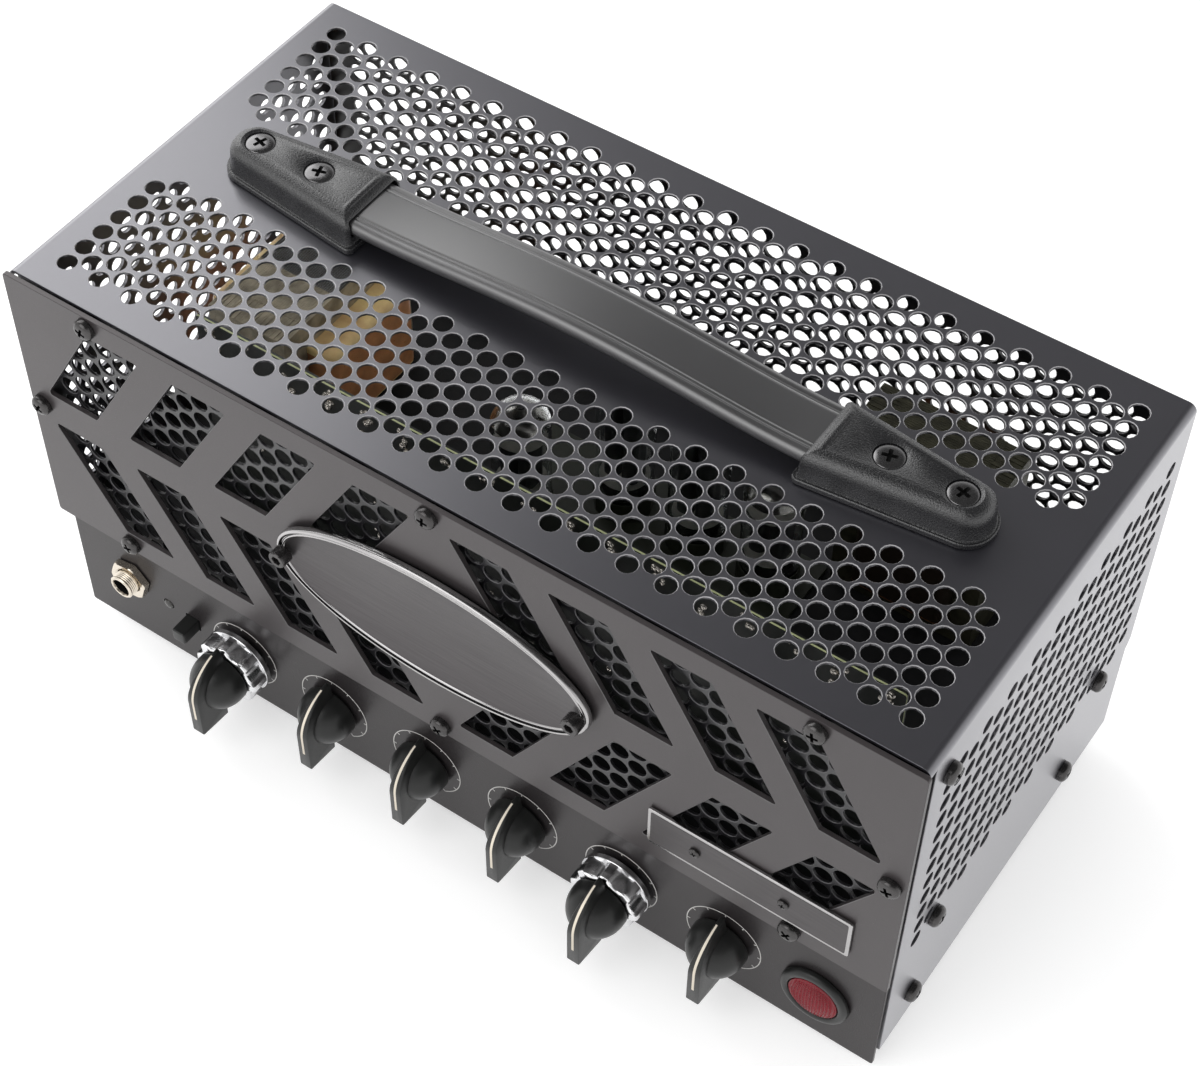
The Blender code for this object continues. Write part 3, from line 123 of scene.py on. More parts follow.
# Screws
HEAD_RADIUS = 0.0037
HEAD_TALL = 0.0030
STEM_RADIUS = 0.0020
PAN_FLAT = 0.35             # share of a pan head's radius that is flat on top
PAN_RIM = 0.42              # share of its height that its side stands
PAN_FOOT = (0.96, 0.06)     # shares of its radius and height where its foot is chamfered
CROSS_REACH = 0.58          # half length of the cross recess over the head's radius
CROSS_DEPTH = 0.75          # its depth over the head's height
CROSS_TAPER = (0.55, 1.25)  # its scale at its floor, and as far over the head's top as that is under it
CROSS_BAR = 0.52            # width of a bar of the cross over its half length
CROSS_CORNER = 0.1
RECESS_REACH = 0.8          # faces nearer the middle than this share of the radius,
RECESS_LOW = 0.1            # over this share of the height
RECESS_SINK = 0.08          # and this share of it under the top are the recess's
CAP_SCREW_RADIUS = 0.0048
CAP_SCREW_TALL = 0.0013
CAP_SCREW_SINK = 0.0015

# Handle
CAP_INNER = 0.0805
CAP_LENGTH = 0.0595
CAP_INNER_HALF = 0.0155
CAP_OUTER_HALF = 0.0100
CAP_ROUND = 0.0090
CAP_HEIGHT = 0.0123
CAP_CORNER = 0.0022         # radius of the inner end's corners, its loss per inset and its least
CAP_CORNER_LOSS = 0.4
CAP_CORNER_LEAST = 0.0004
CAP_WALL = 0.0075           # height and inset where the dome begins, and how far it draws in
CAP_WALL_INSET = 0.0016
CAP_DOME_INSET = 0.0044
POCKET_EDGE = 0.0012        # rounding of the strap's pocket
RIB_PLACE = 0.0062          # from the cap's inner end
RIB_HALF = 0.0013
RIB_TALL = 0.0008
RIB_SINK = 0.0002
RIB_REACH = 0.0095
RIB_ROUND = 0.0096          # reach where its rounded end would come down to nothing
CAP_SCREW_REACH = (0.104, 0.128)
STRAP_HALF = 0.0120
STRAP_THICK = 0.0055
STRAP_EDGE = 0.0026         # radius of its sides
STRAP_CROWN = 0.0002        # fall of its top from the middle to the sides
STRAP_SHOULDER = 0.2        # angle on the sides' rounding where the top ends
STRAP_TRIM = 0.0001         # what the flat underside takes off that rounding
STRAP_GROOVES = (0.0072, 0.0086)
GROOVE_DEPTH = 0.0004
GROOVE_WIDTH = 0.00022
STRAP_END_TOP = 0.0103
STRAP_RISE = 0.0040
STRAP_BEND_REACH = 0.0785
STRAP_REACH = 0.0855

# Badge and name strip
BADGE_LONG = 0.119
BADGE_TALL = 0.0515
BADGE_HEIGHT = 0.1153
BADGE_THICK = 0.0036
BADGE_SCREW_REACH = 0.0555
BADGE_SCREW_RADIUS = 0.0032
BADGE_SCREW_TALL = 0.0044
KNURLS = 24
KNURL_DEPTH = 0.018         # share of the radius
STRIP_X = 0.116
STRIP_HEIGHT = 0.0765
STRIP_LONG = 0.072
STRIP_TALL = 0.018
STRIP_THICK = 0.0012
STRIP_EDGE = 0.0003
STRIP_CORNER = 0.0008
STRIP_BORDER = 0.0012
STRIP_FACE_RISE = 0.0001
STRIP_FACE_EDGE = 0.0004
STRIP_FACE_CORNER = 0.0006
STRIP_SCREWS = (-0.0185, 0.0130)
STRIP_SCREW_RADIUS = 0.0019
STRIP_SCREW_TALL = 0.0012

# Controls
KNOB_NAMES = ("gain", "low", "mid", "high", "volume", "presence")
DUAL_KNOBS = ("gain", "volume")
KNOB_FIRST_X = -0.0900
KNOB_PITCH = 0.0394
KNOB_XS = [KNOB_FIRST_X + i * KNOB_PITCH for i in range(len(KNOB_NAMES))]
KNOB_LIFT = 0.0012
KNOB_DUAL_LIFT = 0.0112
KNOB_HEIGHT = 0.0164
KNOB_DOME = 0.0130
KNOB_RADIUS = 0.0102
KNOB_SKIRT = 0.0025
KNOB_TIP = 0.0155
KNOB_TAIL = 0.0157
KNOB_BAR = 0.0062
KNOB_EDGE = 0.00045         # softened edges of the pointer
KNOB_FOOT = 1.06            # factor on its width at the panel, and what that loses on the way out
KNOB_TAPER = 0.30
KNOB_CHAMFER = 0.0004
LINE_LIFT = 0.00006         # the pale line stands this proud of the pointer's ridge
LINE_DEPTH = 0.0005
LINE_HALF = 0.00032         # its half width at the tip, and what it gains along the ridge
LINE_GAIN = 0.00012
COLLAR_LIFT = 0.0020
COLLAR_HEIGHT = 0.0088
COLLAR_RADIUS = 0.0130
FLUTES = 8
FLUTE_RADIUS = 0.0055
FLUTE_CENTRE = 0.0166
GRUB_REACH = 0.0112
GRUB_HEIGHT = 0.0054
DIAL_RADIUS = 0.0139
DIAL_SWEEP = math.radians(150)
DIAL_LINE = 0.00032
DIAL_TICK = 0.0012
DIAL_RAISE = 0.00004
PILOT_X = 0.1415
PILOT_RADIUS = 0.01225
PILOT_STEM = 0.0080
PILOT_DEEP = 0.014
PILOT_FOOT = 0.0119
PILOT_CHAMFER = 0.0003
PILOT_LIP = 0.0006          # softened edge round the lens
PILOT_WALL = 0.0012
PILOT_ROUND = 0.0016
LENS_RADIUS = 0.0088
LENS_SEAT = 0.0010
LENS_TOP = 0.0036
LENS_FALL = 0.0011          # from its middle to its rim
LENS_FACET = 0.00040        # height of its small pyramids
LENS_CELLS = 15
STATUS_X = -0.1243
STATUS_HEIGHT = 0.0294
STATUS_RADIUS = 0.0020
STATUS_DEEP = 0.008
STATUS_SINK = 0.0002
STATUS_DOME = 0.0010
BUTTON_X = -0.1135
BUTTON_SIDE = 0.0054
BUTTON_REACH = 0.0080
BUTTON_INNER = -0.0093
BUTTON_EDGE = 0.0006
JACK_X = -0.1398
JACK_HEIGHT = 0.0342
SHAFT_HOLE = 0.0049         # radii of the panel's holes, and the button hole's side
JACK_HOLE = 0.0051
PILOT_HOLE = 0.0083
STATUS_HOLE = 0.0023
BUTTON_HOLE = 0.0062
BUTTON_HOLE_CORNER = 0.0004
JACK_BORE = 0.0034
JACK_MOUTH = 0.0037
JACK_TIP = 0.0068
JACK_CHAMFER = 0.0004
JACK_THREAD = 0.0048        # radius over the thread and at its root
JACK_ROOT = 0.0045
JACK_PITCH = 0.0007
JACK_THREADED = (0.0062, 0.0034)    # reach of the thread, from the panel's front
JACK_BODY = 0.0078
JACK_NECK = 0.0035          # depths behind the panel's front where the body begins and ends
JACK_DEEP = 0.0250
JACK_WELL = 0.012
NUT_CORNER = 0.0082

# Works inside the cage
TRANSFORMERS = {
    "power_transformer": {
        "x": 0.095, "y": 0.058, "turn": 0.0,
        "width": 0.054, "height": 0.078, "stack": 0.022, "limb": 0.009, "bulge": 0.0058,
    },
    "output_transformer": {
        "x": -0.129, "y": 0.0165, "turn": QUARTER,
        "width": 0.0676, "height": 0.061, "stack": 0.033, "limb": 0.011, "bulge": 0.0110,
    },
}
LEAF = 0.0009               # pitch of the laminations
LEAF_SHARE = 0.88           # share of the pitch that the iron takes
LEAF_LEAN = 0.0001          # unevenness of their upper ends
LEAN_FROM = 0.02            # only bars taller than this show it
COIL_EDGE = 0.0025
COIL_CORNER = 0.0035
COIL_DRAW = 0.4             # width that the rounding takes where the core holds it, 2 where it is free
BANDED = "output_transformer"
BAND = (-0.0058, 0.0108)    # reach of the insulating band across the top of that core
BAND_THICK = 0.0004
BAND_EDGE = 0.0001
BAND_CORNER = 0.0006
FRONT_BOARD = ((-0.115, 0.143), (0.0543, 0.1570))
FRONT_BOARD_FACE = -0.04105
BOARD_THICK = 0.0016
BOARD_CORNER = 0.0010
BOARD_CUT = (0.0008, 0.0002)    # depths under its front between which its cut edge is pale: the laminate's own colour in a band kept thin as a painted highlight
SOLDER_JOINTS = 150
SOLDER_GROUPS = 17
SOLDER_MARGIN = 0.012
SOLDER_LEFT = 0.004
SOLDER_SPREAD = 0.004       # reach of a group
SOLDER_TOP = 0.0025
SOLDER_ROW = 0.0035
SOLDER_SIZES = (0.0008, 0.0015)
SOLDER_TALL = 0.85          # height over radius
SOLDER_FOOT = 0.0002
TUBES = {
    "preamp_tube_1": (-0.036, 0.012, 0.046),
    "power_tube_1": (-0.008, 0.034, 0.066),
    "power_tube_2": (0.022, 0.034, 0.066),
    "preamp_tube_2": (0.051, 0.034, 0.046),
}
TUBE_RADIUS = 0.0105
TUBE_WALL = 0.0007
SOCKET_TALL = 0.0090
TUBE_SHOULDER = DECK + SEAT + BOARD_THICK + SOCKET_TALL + SEAT
TUBE_NECK = 0.0045          # height of the sealed tip
TUBE_DOME = 0.75            # height of the dome over its radius
TIP_RADIUS = 0.0016
TIP = [(0.0014, 0.0030), (0.0009, 0.0008), (0.0, 0.0)]    # radii and depths under the top
GETTER_SKIN = 0.0001
MICA_RADIUS = 0.0088
MICA_THICK = 0.0004
MICA_LOW = 0.006            # over the shoulder
MICA_HIGH = 0.0180          # under the top
ANODE_WIDE = 0.0060
ANODE_DEEP = 0.0090
ANODE_CORNER = 0.0024
ANODE_X = 0.0036
ANODE_GAP = 0.0006
BASE_RADIUS = 0.0080
BASE_DEEP = 0.0085
BASE_GAP = 0.0002

# Camera of the photograph: place, axes and lens
CAMERA_PLACE = (0.2937, -0.42055, 0.7117)
CAMERA_AZIMUTH = math.radians(34.313)
CAMERA_ELEVATION = math.radians(50.943)
CAMERA_ROLL = math.radians(-0.497)
CAMERA_LENS = 73.70
CAMERA_SHIFT = (0.0119, 0.0137)


# Placing


def front(x, z, y=PANEL_FRONT):
    """Own X to the right, Y up and Z out of the front."""
    return Matrix(((1, 0, 0, x), (0, 0, -1, y), (0, 1, 0, z), (0, 0, 0, 1)))


def flank(sign, y, z):
    """Own Z out of the right (1) or left (-1) side."""
    return Matrix(((0, 0, sign, sign * CASE_HALF), (sign, 0, 0, y), (0, 1, 0, z), (0, 0, 0, 1)))


def spin(angle):
    """A turn about Z."""
    return Matrix.Rotation(angle, 4, "Z")


def upright(x, y, z, turn=0.0):
    return Matrix.Translation((x, y, z)) @ spin(turn)


# Mesh building


class Shape:
    """Points, faces and material numbers of one piece while it is put together."""

    def __init__(self):
        self.points = []
        self.faces = []
        self.slots = []

    def add(self, points, faces, slot=0, at=None):
        base = len(self.points)
        if at is not None:
            points = [at @ Vector(p) for p in points]
        self.points.extend(tuple(p) for p in points)
        for face in faces:
            self.faces.append([base + i for i in face])
            self.slots.append(slot)
        return self

    def mesh(self, data, slot=0, at=None):
        base = len(self.slots)
        self.add([v.co for v in data.vertices], [list(p.vertices) for p in data.polygons], slot, at)
        self.slots[base:] = [slot + p.material_index for p in data.polygons]
        return self

    def loft(self, rings, slot=0, at=None, caps=True, slots=None):
        """Skin through equal rings, each counter-clockwise seen from the last one's side."""
        count = len(rings[0])
        points = [p for ring in rings for p in ring]
        base = len(self.faces)
        faces = []
        for level in range(len(rings) - 1):
            low = level * count
            for i in range(count):
                j = (i + 1) % count
                faces.append((low + i, low + j, low + count + j, low + count + i))
        if caps:
            faces.append(list(reversed(range(count))))
            faces.append(list(range((len(rings) - 1) * count, len(rings) * count)))
        self.add(points, faces, slot, at)
        if slots:
            for level, number in enumerate(slots):
                for i in range(count):
                    self.slots[base + level * count + i] = number
            if caps:
                self.slots[-1] = slots[-1]
        return self

    def turned(self, profile, steps, slot=0, at=None):
        """A (radius, height) profile turned about Z, from the bottom round the outside to the top."""
        ring = disc(1.0, steps=steps)
        points = []
        starts = []
        for radius, height in profile:
            starts.append(len(points))
            if radius < 1e-7:
                points.append((0.0, 0.0, height))
            else:
                points.extend((radius * c, radius * s, height) for c, s in ring)
        faces = []
        for level in range(len(profile) - 1):
            a = starts[level]
            b = starts[level + 1]
            lone_a = profile[level][0] < 1e-7
            lone_b = profile[level + 1][0] < 1e-7
            for i in range(steps):
                j = (i + 1) % steps
                if lone_a and lone_b:
                    continue
                if lone_a:
                    faces.append((a, b + j, b + i))
                elif lone_b:
                    faces.append((a + i, a + j, b))
                else:
                    faces.append((a + i, a + j, b + j, b + i))
        return self.add(points, faces, slot, at)

    def data(self, name):
        mesh = bpy.data.meshes.new(name)
        mesh.from_pydata(self.points, [], self.faces)
        mesh.polygons.foreach_set("material_index", self.slots)
        mesh.update()
        return mesh


def arc(centre, reach, start, stop, count):
    """Points along a stretch of an ellipse: its middle, its two reaches, and the end angles."""
    points = []
    for angle in np.linspace(start, stop, count):
        points.append((centre[0] + reach[0] * math.cos(angle), centre[1] + reach[1] * math.sin(angle)))
    return points


def rounded(width, depth, radius, steps=5, x=0.0, y=0.0):
    """A rectangle with round corners, counter-clockwise."""
    a = width / 2 - radius
    b = depth / 2 - radius
    points = []
    for k, (cx, cy) in enumerate(((a, -b), (a, b), (-a, b), (-a, -b))):
        points += arc((x + cx, y + cy), (radius, radius), QUARTER * (k - 1), QUARTER * k, steps)
    return points


def disc(radius, x=0.0, y=0.0, steps=28):
    angles = [2 * math.pi * i / steps for i in range(steps)]
    return [(x + radius * math.cos(a), y + radius * math.sin(a)) for a in angles]


def hexagon(flat, angle):
    """Reach of a hexagon at an angle, flat being that to the middle of a side."""
    return flat / math.cos((angle % (math.pi / 3)) - math.pi / 6)


def circle(reach, height, steps):
    """Points round Z at a height. reach is a radius, or gives one for each angle."""
    points = []
    for i in range(steps):
        angle = 2 * math.pi * i / steps
        r = reach(angle) if callable(reach) else reach
        points.append((r * math.cos(angle), r * math.sin(angle), height))
    return points


def lifted(plan, height):
    """A flat outline at a height."""
    return [(x, y, height) for x, y in plan]


def drum(radius, low, high):
    """Profile of a plain round block, to be turned."""
    return [(0.0, low), (radius, low), (radius, high), (0.0, high)]


def softened(low, high, edge):
    """Levels (height, inset) of a form whose two rims are rounded by edge."""
    turns = [QUARTER * i / 4 for i in range(5)]
    lower = [(low + edge * (1 - math.sin(t)), edge * (1 - math.cos(t))) for t in reversed(turns)]
    upper = [(high - edge * (1 - math.sin(t)), edge * (1 - math.cos(t))) for t in turns]
    return lower + upper


def brick(shape, low, high, edge, corner, slot=0, at=None):
    """A block with rounded corners and rims, between two points."""
    middle = [(a + b) / 2 for a, b in zip(low, high)]
    width = high[0] - low[0]
    depth = high[1] - low[1]
    rings = []
    for height, inset in softened(low[2], high[2], edge):
        size = (width - 2 * inset, depth - 2 * inset)
        plan = rounded(*size, max(1e-5, corner - inset), 4, middle[0], middle[1])
        rings.append(lifted(plan, height))
    return shape.loft(rings, slot, at)


def linked(name, data):
    """A new object of the scene."""
    obj = bpy.data.objects.new(name, data)
    bpy.context.scene.collection.objects.link(obj)
    return obj


def soften(obj, width, angle):
    """Join the points that coincide, and bevel the edges sharper than an angle in degrees."""
    obj.modifiers.new("weld", "WELD").merge_threshold = WELD
    bevel = obj.modifiers.new("bevel", "BEVEL")
    bevel.width = width
    bevel.segments = 2
    bevel.limit_method = "ANGLE"
    bevel.angle_limit = math.radians(angle)


def carved(base, others, operation="DIFFERENCE", bevel=0.0):
    """The mesh of a Shape with other Shapes cut from it or joined to it."""
    objects = [linked("carve", s.data("carve")) for s in [base, *others]]
    for other in objects[1:]:
        boolean = objects[0].modifiers.new("carve", "BOOLEAN")
        boolean.operation = operation
        boolean.solver = "EXACT"
        boolean.object = other
    if bevel:
        soften(objects[0], bevel, 35)
    bpy.context.view_layer.update()
    graph = bpy.context.evaluated_depsgraph_get()
    mesh = bpy.data.meshes.new_from_object(objects[0].evaluated_get(graph))
    for obj in objects:
        bpy.data.objects.remove(obj, do_unlink=True)
    return mesh


def hollow(rings):
    """Mesh of a skin through rings that comes back to the first one, such as a nut round its bore."""
    mesh = Shape().loft([*rings, rings[0]], caps=False).data("hollow")
    shape = bmesh.new()
    shape.from_mesh(mesh)
    bmesh.ops.remove_doubles(shape, verts=shape.verts, dist=WELD)
    shape.to_mesh(mesh)
    shape.free()
    return mesh


def piece(name, mesh, materials, body="case", replaces=(), sharp=32):
    """Finish a mesh as a piece of the object that rides on a body."""
    if isinstance(mesh, Shape):
        mesh = mesh.data(name)
    for material in materials:
        mesh.materials.append(material)
    if sharp:
        mesh.shade_smooth()
        mesh.set_sharp_from_angle(angle=math.radians(sharp))
    obj = linked(name, mesh)
    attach(obj, body)
    if replaces:
        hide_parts(*replaces)


# Sheets with holes


def loop_normals(points, hole):
    """Unit directions from a loop's points into the open, and the mitre lengths there."""
    p = np.asarray(points, float)
    edge = np.roll(p, -1, 0) - p
    edge /= np.linalg.norm(edge, axis=1)[:, None]
    side = np.stack([edge[:, 1], -edge[:, 0]], 1)
    if hole:
        side = -side
    total = side + np.roll(side, 1, 0)
    total /= np.linalg.norm(total, axis=1)[:, None]
    mitre = 1.0 / np.clip((total * side).sum(1), 0.4, 1.0)
    return total, mitre


def inside(point, polygon):
    x, y = point
    hit = False
    for (ax, ay), (bx, by) in zip(polygon, np.roll(polygon, -1, 0)):
        if (ay > y) != (by > y) and x < ax + (y - ay) * (bx - ax) / (by - ay):
            hit = not hit
    return hit


def loop_edges(loops):
    """Every edge of the loops as (first, second, is a hole's), their points numbered in one run."""
    edges = []
    start = 0
    for points, hole in loops:
        size = len(points)
        edges += [(start + i, start + (i + 1) % size, hole) for i in range(size)]
        start += size
    return edges


def sheet_triangles(flat, owner, edges, lines):
    """Counter-clockwise triangles between the outline, which is loop 0, and the holes."""
    pairs = [(a, b) for a, b, _ in edges]
    for ends in lines:
        pairs.append(tuple(int(np.argmin(((flat - end) ** 2).sum(1))) for end in ends))
    made = delaunay_2d_cdt([Vector(p * 1000) for p in flat], pairs, [], 0, 1e-6, True)
    source = [ids[0] for ids in made[3]]
    border = flat[owner == 0]
    triangles = []
    for face in made[2]:
        t = [source[i] for i in face]
        loops = {owner[i] for i in t}
        if len(loops) == 1 and (loops.pop() > 0 or not inside(flat[t].mean(0), border)):
            continue
        (ax, ay), (bx, by), (cx, cy) = flat[t]
        if (bx - ax) * (cy - ay) - (by - ay) * (cx - ax) < 0:
            t.reverse()
        triangles.append(t)
    return triangles


def sheet_mesh(name, outline, holes, thick, fold, lines=(), rim_edge=SHEET_EDGE):
    """A sheet with softened edges. fold(u, v) gives place, sheet normal and the two in-plane axes."""
    loops = [(np.asarray(outline, float), False)] + [(np.asarray(h, float), True) for h in holes]
    edges = loop_edges(loops)
    owner = np.repeat(np.arange(len(loops)), [len(points) for points, _ in loops])
    soft = np.where(owner > 0, rim_edge, SHEET_EDGE)[:, None]
    rim = np.concatenate([points for points, _ in loops])
    toward, mitre = (np.concatenate(kind) for kind in zip(*(loop_normals(*loop) for loop in loops)))
    flat = rim - toward * (mitre[:, None] * soft)
    triangles = sheet_triangles(flat, owner, edges, lines)
    place_flat, up_flat, _, _ = fold(flat[:, 0], flat[:, 1])
    place_rim, up_rim, along_u, along_v = fold(rim[:, 0], rim[:, 1])
    open_way = toward[:, :1] * along_u + toward[:, 1:] * along_v
    drop = up_rim * soft
    levels = [place_flat, place_rim - drop, place_rim - up_rim * thick + drop, place_flat - up_flat * thick]
    ways = [up_flat, open_way, open_way, -up_flat]
    count = len(flat)
    faces = triangles + [[3 * count + i for i in reversed(t)] for t in triangles]
    # The top bevel round each hole takes material 1, a lighter finish that is a painted highlight along the
    # rims.
    worn = []
    for a, b, hole in edges:
        for low in (0, count, 2 * count):
            face = [low + a, low + count + a, low + count + b, low + b]
            if hole and low == 0:
                worn.append(len(faces))
            faces.append(face[::-1] if hole else face)
    mesh = bpy.data.meshes.new(name)
    mesh.from_pydata(np.concatenate(levels).tolist(), [], faces)
    for face in worn:
        mesh.polygons[face].material_index = 1
    mesh.shade_smooth()
    mesh.normals_split_custom_set_from_vertices(np.concatenate(ways).tolist())
    return mesh


def upright_fold(y):
    """Sheet facing the front at depth y: u is x and v is z."""
    def fold(u, v):
        count = len(u)
        place = np.stack([u, np.full(count, y), v], 1)
        ways = ((0.0, -1.0, 0.0), (1.0, 0.0, 0.0), (0.0, 0.0, 1.0))
        return place, *(np.tile(way, (count, 1)) for way in ways)
    return fold


def cover_fold(u, v):
    """Unrolled cover: u runs across the top and down both sides, v is y."""
    flat = CASE_HALF - BEND
    bend = BEND * QUARTER
    sign = np.sign(u)
    over = np.abs(u) - flat
    turn = np.clip(over, 0, bend) / BEND
    drop = np.clip(over - bend, 0, None)
    x = np.where(over > 0, sign * (flat + BEND * np.sin(turn)), u)
    z = CASE_TOP - BEND * (1 - np.cos(turn)) - drop
    zero = np.zeros_like(u)
    way = np.stack([sign * np.sin(turn), zero, np.cos(turn)], 1)
    along = np.stack([np.cos(turn), zero, -sign * np.sin(turn)], 1)
    return np.stack([x, v, z], 1), way, along, np.stack([zero, zero + 1, zero], 1)


def staggered(columns, pitch, first, rows, row_pitch, lowest, radius, keep=None):
    holes = []
    for column in range(columns):
        u = first + column * pitch
        for row in range(rows):
            v = lowest[column % 2] + row * row_pitch
            if keep is None or keep(u, v):
                holes.append(disc(radius, u, v, HOLE_STEPS))
    return holes


def clear_of_screws(y, z):
    return all(math.hypot(y - MID_Y - a, z - b) > SCREW_CLEAR for a, b in SIDE_SCREWS)


def make_cover(coat, worn):
    """Bent cover with two fields of holes in its top and one in each side."""
    flat = CASE_HALF - BEND
    bend_end = flat + BEND * QUARTER
    down = bend_end + CASE_TOP - BEND
    end = down - SKIRT
    step = CASE_REAR - NOTCH_DEPTH
    bends = [flat + BEND * QUARTER * k / 8 for k in range(9)]
    across = [-s for s in reversed(bends)] + bends
    outline = [(s, CASE_FRONT) for s in across]
    outline += [(bend_end, TRAY_FRONT), (end, TRAY_FRONT), (end, step), (down - DECK, step)]
    outline += [(down - DECK - NOTCH_RISE, CASE_REAR)] + [(s, CASE_REAR) for s in reversed(across)]
    outline += [(-(down - DECK - NOTCH_RISE), CASE_REAR), (-(down - DECK), step), (-end, step)]
    outline += [(-end, TRAY_FRONT), (-bend_end, TRAY_FRONT)]
    lines = [((s, CASE_FRONT + SHEET_EDGE), (s, CASE_REAR - SHEET_EDGE)) for s in across[1:-1]]
    for s in (-1, 1):
        start = (s * (bend_end - SHEET_EDGE), TRAY_FRONT + SHEET_EDGE)
        lines.append((start, (s * bend_end, CASE_REAR - SHEET_EDGE)))
    first = -TOP_COLUMN_PITCH * (TOP_COLUMNS - 1) / 2
    behind = [MID_Y + y for y in TOP_FIRST]
    ahead = [MID_Y - y - (TOP_ROWS - 1) * TOP_ROW_PITCH for y in TOP_FIRST]
    holes = []
    for lowest in (behind, ahead):
        holes += staggered(TOP_COLUMNS, TOP_COLUMN_PITCH, first, TOP_ROWS, TOP_ROW_PITCH, lowest, TOP_HOLE)
    side = staggered(
        SIDE_COLUMNS, SIDE_COLUMN_PITCH, MID_Y + SIDE_COLUMN_FIRST, SIDE_ROWS, SIDE_ROW_PITCH, SIDE_LOWEST,
        SIDE_HOLE, clear_of_screws,
    )
    for hole in side:
        holes.append([(down - z, y) for y, z in hole][::-1])
        holes.append([(z - down, y) for y, z in hole])
    mesh = sheet_mesh("cover", outline, holes, SHEET, cover_fold, lines, RIM_EDGE)
    piece("cover", mesh, [coat, worn], replaces=("cage_cover",), sharp=None)


def make_grilles(coat, worn):
    """Perforated sheets behind the front plate and at the back."""
    low = DECK + SEAT
    cut = BEND - SHEET + SEAT
    outline = [(-INNER_HALF, low), (INNER_HALF, low), (INNER_HALF, INNER_TOP - cut)]
    outline += [(INNER_HALF - cut, INNER_TOP), (cut - INNER_HALF, INNER_TOP)]
    outline.append((-INNER_HALF, INNER_TOP - cut))
    first = -GRILLE_COLUMN_PITCH * (GRILLE_COLUMNS - 1) / 2
    lowest = (GRILLE_LOWEST, GRILLE_LOWEST + GRILLE_ROW_PITCH / 2)
    holes = staggered(
        GRILLE_COLUMNS, GRILLE_COLUMN_PITCH, first, GRILLE_ROWS, GRILLE_ROW_PITCH, lowest, GRILLE_HOLE
    )
    for name, y in (("front_grille", PANEL_FRONT), ("rear_grille", REAR_FACE - SHEET)):
        mesh = sheet_mesh(name + "_sheet", outline, holes, SHEET, upright_fold(y), rim_edge=GRILLE_RIM)
        piece(name + "_sheet", mesh, [coat, worn], replaces=(name,), sharp=None)


def clipped(points, limit, sign):
    """The part of an outline where sign times x is over sign times the limit."""
    kept = []
    for here, after in zip(points, points[1:] + points[:1]):
        over = sign * (here[0] - limit)
        next_over = sign * (after[0] - limit)
        if over >= 0:
            kept.append(here)
        if over * next_over < 0:
            share = over / (over - next_over)
            kept.append(tuple(a + share * (b - a) for a, b in zip(here, after)))
    return [p for i, p in enumerate(kept) if math.dist(p, kept[i - 1]) > 1e-6]


def filleted(points, radius):
    """A polygon with its corners rounded, counter-clockwise."""
    steps = 5
    p = [Vector(q) for q in points]
    area = sum(a.x * b.y - b.x * a.y for a, b in zip(p, p[1:] + p[:1]))
    if area < 0:
        p.reverse()
    made = []
    for before, here, after in zip(p[-1:] + p[:-1], p, p[1:] + p[:1]):
        a = (before - here).normalized()
        b = (after - here).normalized()
        half = math.acos(max(-1.0, min(1.0, a.dot(b)))) / 2
        reach = radius / math.tan(half)
        centre = here + (a + b).normalized() * (radius / math.sin(half))
        start = here + a * reach - centre
        stop = here + b * reach - centre
        sweep = start.angle_signed(stop)
        for i in range(steps):
            angle = -sweep * i / (steps - 1)
            c = math.cos(angle)
            s = math.sin(angle)
            made.append((centre.x + start.x * c - start.y * s, centre.y + start.x * s + start.y * c))
    return made


def vent_outlines():
    """Two rows of slanted vents, arrowing outwards from the middle post."""
    rows = (
        (PLATE_BOTTOM + VENT_MARGIN, PLATE_MIDDLE - VENT_BAR / 2, VENT_SLANT),
        (PLATE_MIDDLE + VENT_BAR / 2, PLATE_TOP - VENT_MARGIN, -VENT_SLANT),
    )
    count = math.ceil(VENT_REACH / VENT_PITCH) + 1
    vents = []
    for low, high, slant in rows:
        for index in range(-1, count):
            x = VENT_POST / 2 + index * VENT_PITCH + max(0.0, -slant)
            corners = [(x, low), (x + VENT_WIDTH, low), (x + VENT_WIDTH + slant, high), (x + slant, high)]
            kept = clipped(clipped(corners, VENT_POST / 2, 1), VENT_REACH, -1)
            if len(kept) < 3:
                continue
            size = abs(sum(a[0] * b[1] - b[0] * a[1] for a, b in zip(kept, kept[1:] + kept[:1]))) / 2
            if size < VENT_LEAST:
                continue
            vents.append(filleted(kept, VENT_CORNER))
            vents.append(filleted([(-px, pz) for px, pz in kept], VENT_CORNER))
    return vents


def corners_of(half, low, high):
    return [(-half, low), (half, low), (half, high), (-half, high)]


def make_face_plate(paint, worn):
    """Upper front plate with its slanted vents."""
    corners = corners_of(PLATE_HALF, PLATE_BOTTOM, PLATE_TOP)
    outline = filleted(corners, PLATE_CORNER)
    mesh = sheet_mesh("plate", outline, vent_outlines(), PLATE_SHEET, upright_fold(PLATE_FRONT))
    piece("plate", mesh, [paint, worn], replaces=("face_plate",), sharp=None)


